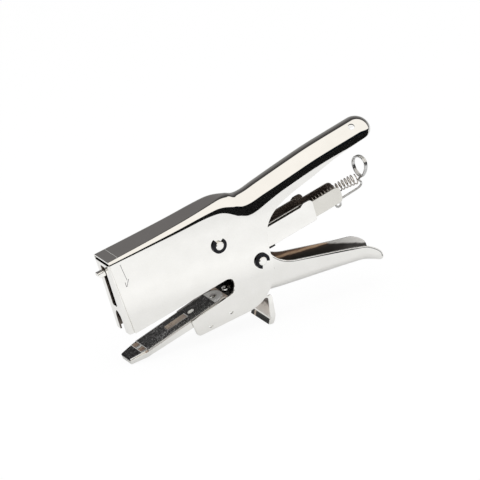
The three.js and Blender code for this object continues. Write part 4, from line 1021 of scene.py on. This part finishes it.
def make_ribs():
    """Two rows of small teeth on the arm, along the plate's long edges."""
    inner, bevel, outer = 0.3, 0.9, 1.15
    teeth = []
    faces = []
    for side in (-1, 1):
        for step in range(RIB_COUNT):
            x = RIB_START + RIB_PITCH * step
            base, top = arm_line(x) - PLATE_THICK - 0.05, arm_line(x) - 0.12
            edge = plate_half(x) - 0.02
            section = [(inner, base), (outer, base), (outer, top - 0.2), (bevel, top), (inner, top)]
            first = len(teeth)
            for dx in (-RIB_HALF, RIB_HALF):
                teeth += [(x + dx, side * (edge + out), z) for out, z in section]
            for face in facing(ring_faces(len(section)), side < 0):
                faces.append(tuple(first + i for i in face))
    ribs = new_mesh("clinch_plate_ribs", teeth, faces)
    dress(ribs, nickel, "frame", "brushed")
    # Painted shade on the teeth's ends, in the gaps between them.
    paint(ribs, black_shade, lambda at, way: abs(way.x) > 0.5)


def make_tooth_shade():
    """Painted shade: a dark strip under the teeth, where shade falls between them."""
    front, rear, wide = 4.3, 63, 1.05
    for side in (-1, 1):
        plan = [(x, side * plate_half(x)) for x in (front, LIP_X, rear)]
        plan += [(x, side * (abs(y) + wide)) for x, y in plan[::-1]]
        shade_strip = slab("clinch_plate_tooth_shade", plan, -1.4, -1.15)
        for vertex in shade_strip.data.vertices:
            spot = FROM_ROW @ vertex.co
            vertex.co = TO_ROW @ Vector((spot.x, spot.y, spot.z + arm_line(spot.x) + 0.55))
        dress(shade_strip, black_shade, "frame", "brushed")


def strip(x0, x1, low, high):
    """Side view of a strip along the plate's face, between two heights above it."""
    return [(x, arm_line(x) + low) for x in (x0, x1)] + [(x, arm_line(x) + high) for x in (x1, x0)]


def make_edges():
    """Strips of painted shade: one over the end of the throat and one on the arm's cut front edge."""
    dress(prism("throat_end", strip(66.4, 76, -1.4, -1.02), -8.9, 8.9), black_shade, "frame", "nickel")
    front = strip(ARM_TIP_X - 0.2, -8.2, -1.25, -0.2)
    dress(prism("arm_front_edge", front, -5.5, 5.5), black_shade, "frame", "nickel")


def make_rims():
    """Raised lines round the pockets and the window, made bright by a painted highlight: x0, x1, y0, y1 and
    how far each stands proud.
    """
    rims = [
        (0.5, 4.1, -0.75, 0.75, 0.06),
        (4.2, 4.6, -7.2, 7.2, 0.05),
        (0.0, 0.4, -7.2, 7.2, 0.04),
        (0.0, 4.6, -7.2, -6.9, 0.05),
        (38.3, 38.9, -2.9, 2.9, 0.05),
        (22.9, 38.9, -3.1, -2.75, 0.05),
    ]
    for x0, x1, y0, y1, proud in rims:
        rim = prism("clinch_plate_rim", strip(x0, x1, -0.3, proud), y0, y1)
        dress(rim, painted_highlight, "frame", "brushed")


# ---------------------------------------------------------------- heel foot
HEEL_SHEET = 1.2
HEEL_FOLD = (87.1, -40.8)
HEEL_HALF = 11.6
SPLAY_TOP, SPLAY_DROP = -28.0, 12.5


def heel_half(z):
    """Half the foot's width, which grows towards the table."""
    return ARM_HALF + (HEEL_HALF - ARM_HALF) * min(1.0, max(0.0, (SPLAY_TOP - z) / SPLAY_DROP))


def heel_slice(name, shape, near, far):
    """A side-view outline pushed across the foot, from near(z) to far(z)."""
    points = [(x, limit(z), z) for limit in (near, far) for x, z in shape]
    return new_mesh(name, points, facing(ring_faces(len(shape), turned=True), clockwise(shape)))


def ribbon(line, thick):
    """A polyline given a thickness."""
    left, right = [], []
    for i, (x, z) in enumerate(line):
        ax, az = line[max(i - 1, 0)]
        bx, bz = line[min(i + 1, len(line) - 1)]
        length = math.hypot(bx - ax, bz - az)
        nx, nz = -(bz - az) / length * thick / 2, (bx - ax) / length * thick / 2
        left.append((x + nx, z + nz))
        right.append((x - nx, z - nz))
    return left + right[::-1]


def web_line():
    """Middle line of the foot's sheet: under the cheeks, down the upright web and round into the lip."""
    x, z = HEEL_FOLD
    line = [(74, -26.9), (88, -26.9)]
    line += quad_curve(line[-1], (91.6, -26.9), (91.1, -29.4))
    line += [(x + 0.5, z + 1.6)]
    line += quad_curve(line[-1], HEEL_FOLD, (x - 1.1, z - 1.1), 5)
    return line + [(84.6, -44.2)]


def wing_outline():
    """Side view of the flange that stands behind each end of the web."""
    line = [(91.2, -27.4), (92.6, -27.2)] + quad_curve((92.6, -27.2), (94, -27.6), (93.6, -29.6), 5)
    line += [(90.9, -39.4)] + quad_curve((90.9, -39.4), (90, -42.6), (87.4, -44.9), 5)
    return line + quad_curve(line[-1], (86, -45.1), (84.2, -43.9), 4) + [HEEL_FOLD]


def make_heel():
    """The pressed foot behind the arm, with a wing and a tab on each side."""
    foot = heel_slice("heel_foot_pressed", ribbon(web_line(), HEEL_SHEET), lambda z: -heel_half(z), heel_half)
    sides = (
        (lambda z: -heel_half(z), lambda z: HEEL_SHEET - heel_half(z)),
        (lambda z: heel_half(z) - HEEL_SHEET, heel_half),
    )
    for near, far in sides:
        carve(foot, heel_slice("wing", wing_outline(), near, far), "UNION")
    tab = [(75, -27.2), (75.5, -19.5), (83.5, -19.5), (85, -27.2)]
    for side in (-1, 1):
        y0, y1 = sorted((side * (ARM_HALF - HEEL_SHEET), side * ARM_HALF))
        carve(foot, prism("tab", tab, y0, y1), "UNION")
    smooth(foot)
    dress(foot, nickel, "frame", "nickel", "heel_foot")

    def web(at, way):
        return way.x < -0.5 and -40 < at.z < SPLAY_TOP and abs(at.y) < heel_half(at.z) - 0.5

    def lip(at, way):
        return way.x < -0.5 and at.z < -41.2 and abs(at.y) < heel_half(at.z) - 0.2

    # Painted shade on the web; on the lip painted shade with a painted reflection.
    paint(foot, heel_shade, web)
    paint(foot, heel_lip_shade, lip)


def make_catch():
    """The small dark catch on the magazine housing's near edge, behind the rear pin."""
    shape = [(104.3, 0.7), (108.4, 0.7), (108.4, 1.5), (104.3, 1.7)]
    dress(prism("housing_catch", shape, -7.4, -6.9), black_shade, "magazine", "black")


make_plate()
make_ribs()
make_tooth_shade()
make_edges()
make_rims()
make_heel()
make_catch()
MADE = ("body_shell", "lower_handle", "follower_spring", "pull_hook", "clinch_plate", "heel_foot")

# ---------------------------------------------------------------- CAD nodes that keep their shape
# The follower and the driver parts sit inside the head and take painted shade.
LOOKS = {
    "magazine_rail": rail_plate,
    "follower": umber_shade,
    "front_clip": blackened,
    "rear_clip": blackened,
    "driver_blade": blackened,
    "return_spring": wire_steel,
    "lever_pin": wire_steel,
    "driver_lever": nickel_shaded,
    "driver_block": nickel_shaded,
}


def facing_in(at, way):
    """A wall's inner side: it looks towards the middle."""
    return way.y * at.y < -0.5 * abs(at.y)


def front_end(at, way):
    return way.x < -0.7 and at.x < 5


# Painted shade on the inner faces and floors of the magazine and the rail, the housing's top edges, the front
# ends, the guide's rear faces and the arm's top under the plate.
SHADED_INSIDES = {
    "magazine_housing": (
        (coal_shade, lambda at, way: facing_in(at, way) or (way.z > 0.5 and abs(at.y) < 6.5)),
        (black_shade, lambda at, way: way.z > 0.5 and at.z > 10),
        (umber_shade, front_end),
    ),
    "magazine_rail": (
        (coal_shade, lambda at, way: facing_in(at, way) or (way.z > 0.5 and at.z < 8)),
        (umber_shade, front_end),
    ),
    "anvil_arm": ((tan_shade, lambda at, way: way.z > 0.5 and abs(at.y) < 8 and at.x > 5),),
    "front_guide": ((coal_shade, lambda at, way: way.x > 0.5 or facing_in(at, way)),),
}
body_of_node = {n: b for b, names in frame["record"]["behaviour"]["bodies"].items() for n in names}
slot_of_node = {s["node"]: s["material_slot"] for s in frame["record"]["subparts"]}
for name, node in nodes.items():
    if name in MADE:
        continue
    copy = link(bpy.data.objects.new(name + "_finished", node.data.copy()))
    smooth(copy)
    dress(copy, LOOKS.get(name, nickel), body_of_node[name], slot_of_node[name], name)
    for material, chosen in SHADED_INSIDES.get(name, ()):
        paint(copy, material, chosen)

# ---------------------------------------------------------------- stage, in metres
WHITE = (1, 1, 1)
FLOOR_HALF = 3.0
CARD_HALF, CARD_Y, CARD_LOW, CARD_TOP = 1.2, -0.25, 0.001, 0.13
NIGHT = (0.003, 0.005, 0.0075)
SOFTBOX = (1.02, 0.985, 0.935)


def panel(name, corners, material):
    """One flat face with four corners."""
    mesh = bpy.data.meshes.new(name)
    mesh.from_pydata(corners, [], [(0, 1, 2, 3)])
    mesh.materials.append(material)
    return link(bpy.data.objects.new(name, mesh))


def make_floor():
    """White to the camera with a faint shadow kept; in the metal greyer, with a lighter band in front."""
    sweep = [(0.0, 0.8), (0.33, 0.8), (0.4, 0.9), (0.46, 0.935), (0.54, 0.885), (0.66, 0.88), (0.72, 0.82)]
    material, t = new_material("pale_floor")
    place = t.add("ShaderNodeSeparateXYZ", {"Vector": t.add("ShaderNodeTexCoord").outputs["Object"]})
    mirrored = t.ramp(t.math("MULTIPLY", place.outputs["Y"], -4.0), sweep)
    path = t.add("ShaderNodeLightPath")
    tone = t.mix(path.outputs["Is Glossy Ray"], (0.84, 0.84, 0.84), mirrored)
    tone = t.mix(path.outputs["Is Camera Ray"], tone, WHITE)
    diffuse = t.add("ShaderNodeBsdfDiffuse", {"Color": tone})
    glow = t.add("ShaderNodeEmission", {"Color": (*WHITE, 1), "Strength": 1.0})
    share = t.math("MULTIPLY", path.outputs["Is Camera Ray"], 0.93)
    t.finish(t.add("ShaderNodeMixShader", {"Fac": share, 1: diffuse.outputs[0], 2: glow.outputs[0]}))
    size = FLOOR_HALF
    corners = [(-size, -size, 0), (size, -size, 0), (size, size, 0), (-size, size, 0)]
    floor = panel("floor", corners, material)


def make_card():
    """A black card low in front of the tool, seen only in the metal's reflections."""
    material, t = new_material("card")
    t.finish(t.add("ShaderNodeBsdfDiffuse", {"Color": (0.01, 0.01, 0.01, 1)}))
    foot = [(-CARD_HALF, CARD_Y, CARD_LOW), (CARD_HALF, CARD_Y, CARD_LOW)]
    head = [(CARD_HALF, CARD_Y, CARD_TOP), (-CARD_HALF, CARD_Y, CARD_TOP)]
    card = panel("card", foot + head, material)
    card.visible_camera = False
    card.visible_diffuse = False
    card.visible_shadow = False


def make_world():
    """White to the camera, pale as plain light; in the metal a wide softbox overhead and a dimmer back."""
    world = bpy.data.worlds.new("studio")
    world.use_nodes = True
    bpy.context.scene.world = world
    t = Tree(world.node_tree)
    direction = t.add("ShaderNodeTexCoord").outputs["Generated"]
    parts = t.add("ShaderNodeSeparateXYZ", {"Vector": direction})
    forward = t.math("MULTIPLY", parts.outputs["Y"], -1.0)
    turn = t.math("DIVIDE", t.math("ARCTAN2", parts.outputs["Z"], forward), math.pi)
    room = [
        (0, NIGHT),
        (0.086, NIGHT),
        (0.096, SOFTBOX),
        (0.655, SOFTBOX),
        (0.668, (0.035, 0.036, 0.034)),
        (0.72, (0.055, 0.052, 0.052)),
        (0.8155, (0.15, 0.142, 0.142)),
        (1, (0.31, 0.31, 0.3)),
    ]
    path = t.add("ShaderNodeLightPath")
    seen = t.mix(path.outputs["Is Glossy Ray"], (0.75, 0.75, 0.75), t.ramp(turn, room))
    seen = t.mix(path.outputs["Is Camera Ray"], seen, WHITE)
    t.finish(t.add("ShaderNodeBackground", {"Color": seen, "Strength": 1.0}), "ShaderNodeOutputWorld")


def make_light():
    """A broad lamp overhead that the metal doesn't mirror."""
    data = bpy.data.lights.new("overhead", "AREA")
    data.shape = "RECTANGLE"
    data.size = 1.6
    data.size_y = 1.2
    data.energy = 9
    lamp = link(bpy.data.objects.new("overhead", data))
    lamp.location = (-0.2, -0.2, 1.3)
    lamp.rotation_euler = (math.radians(-8), math.radians(-8), 0)
    lamp.visible_glossy = False
    lamp.visible_camera = False


make_floor()
make_card()
make_world()
make_light()
bpy.context.scene.view_settings.view_transform = "Standard"
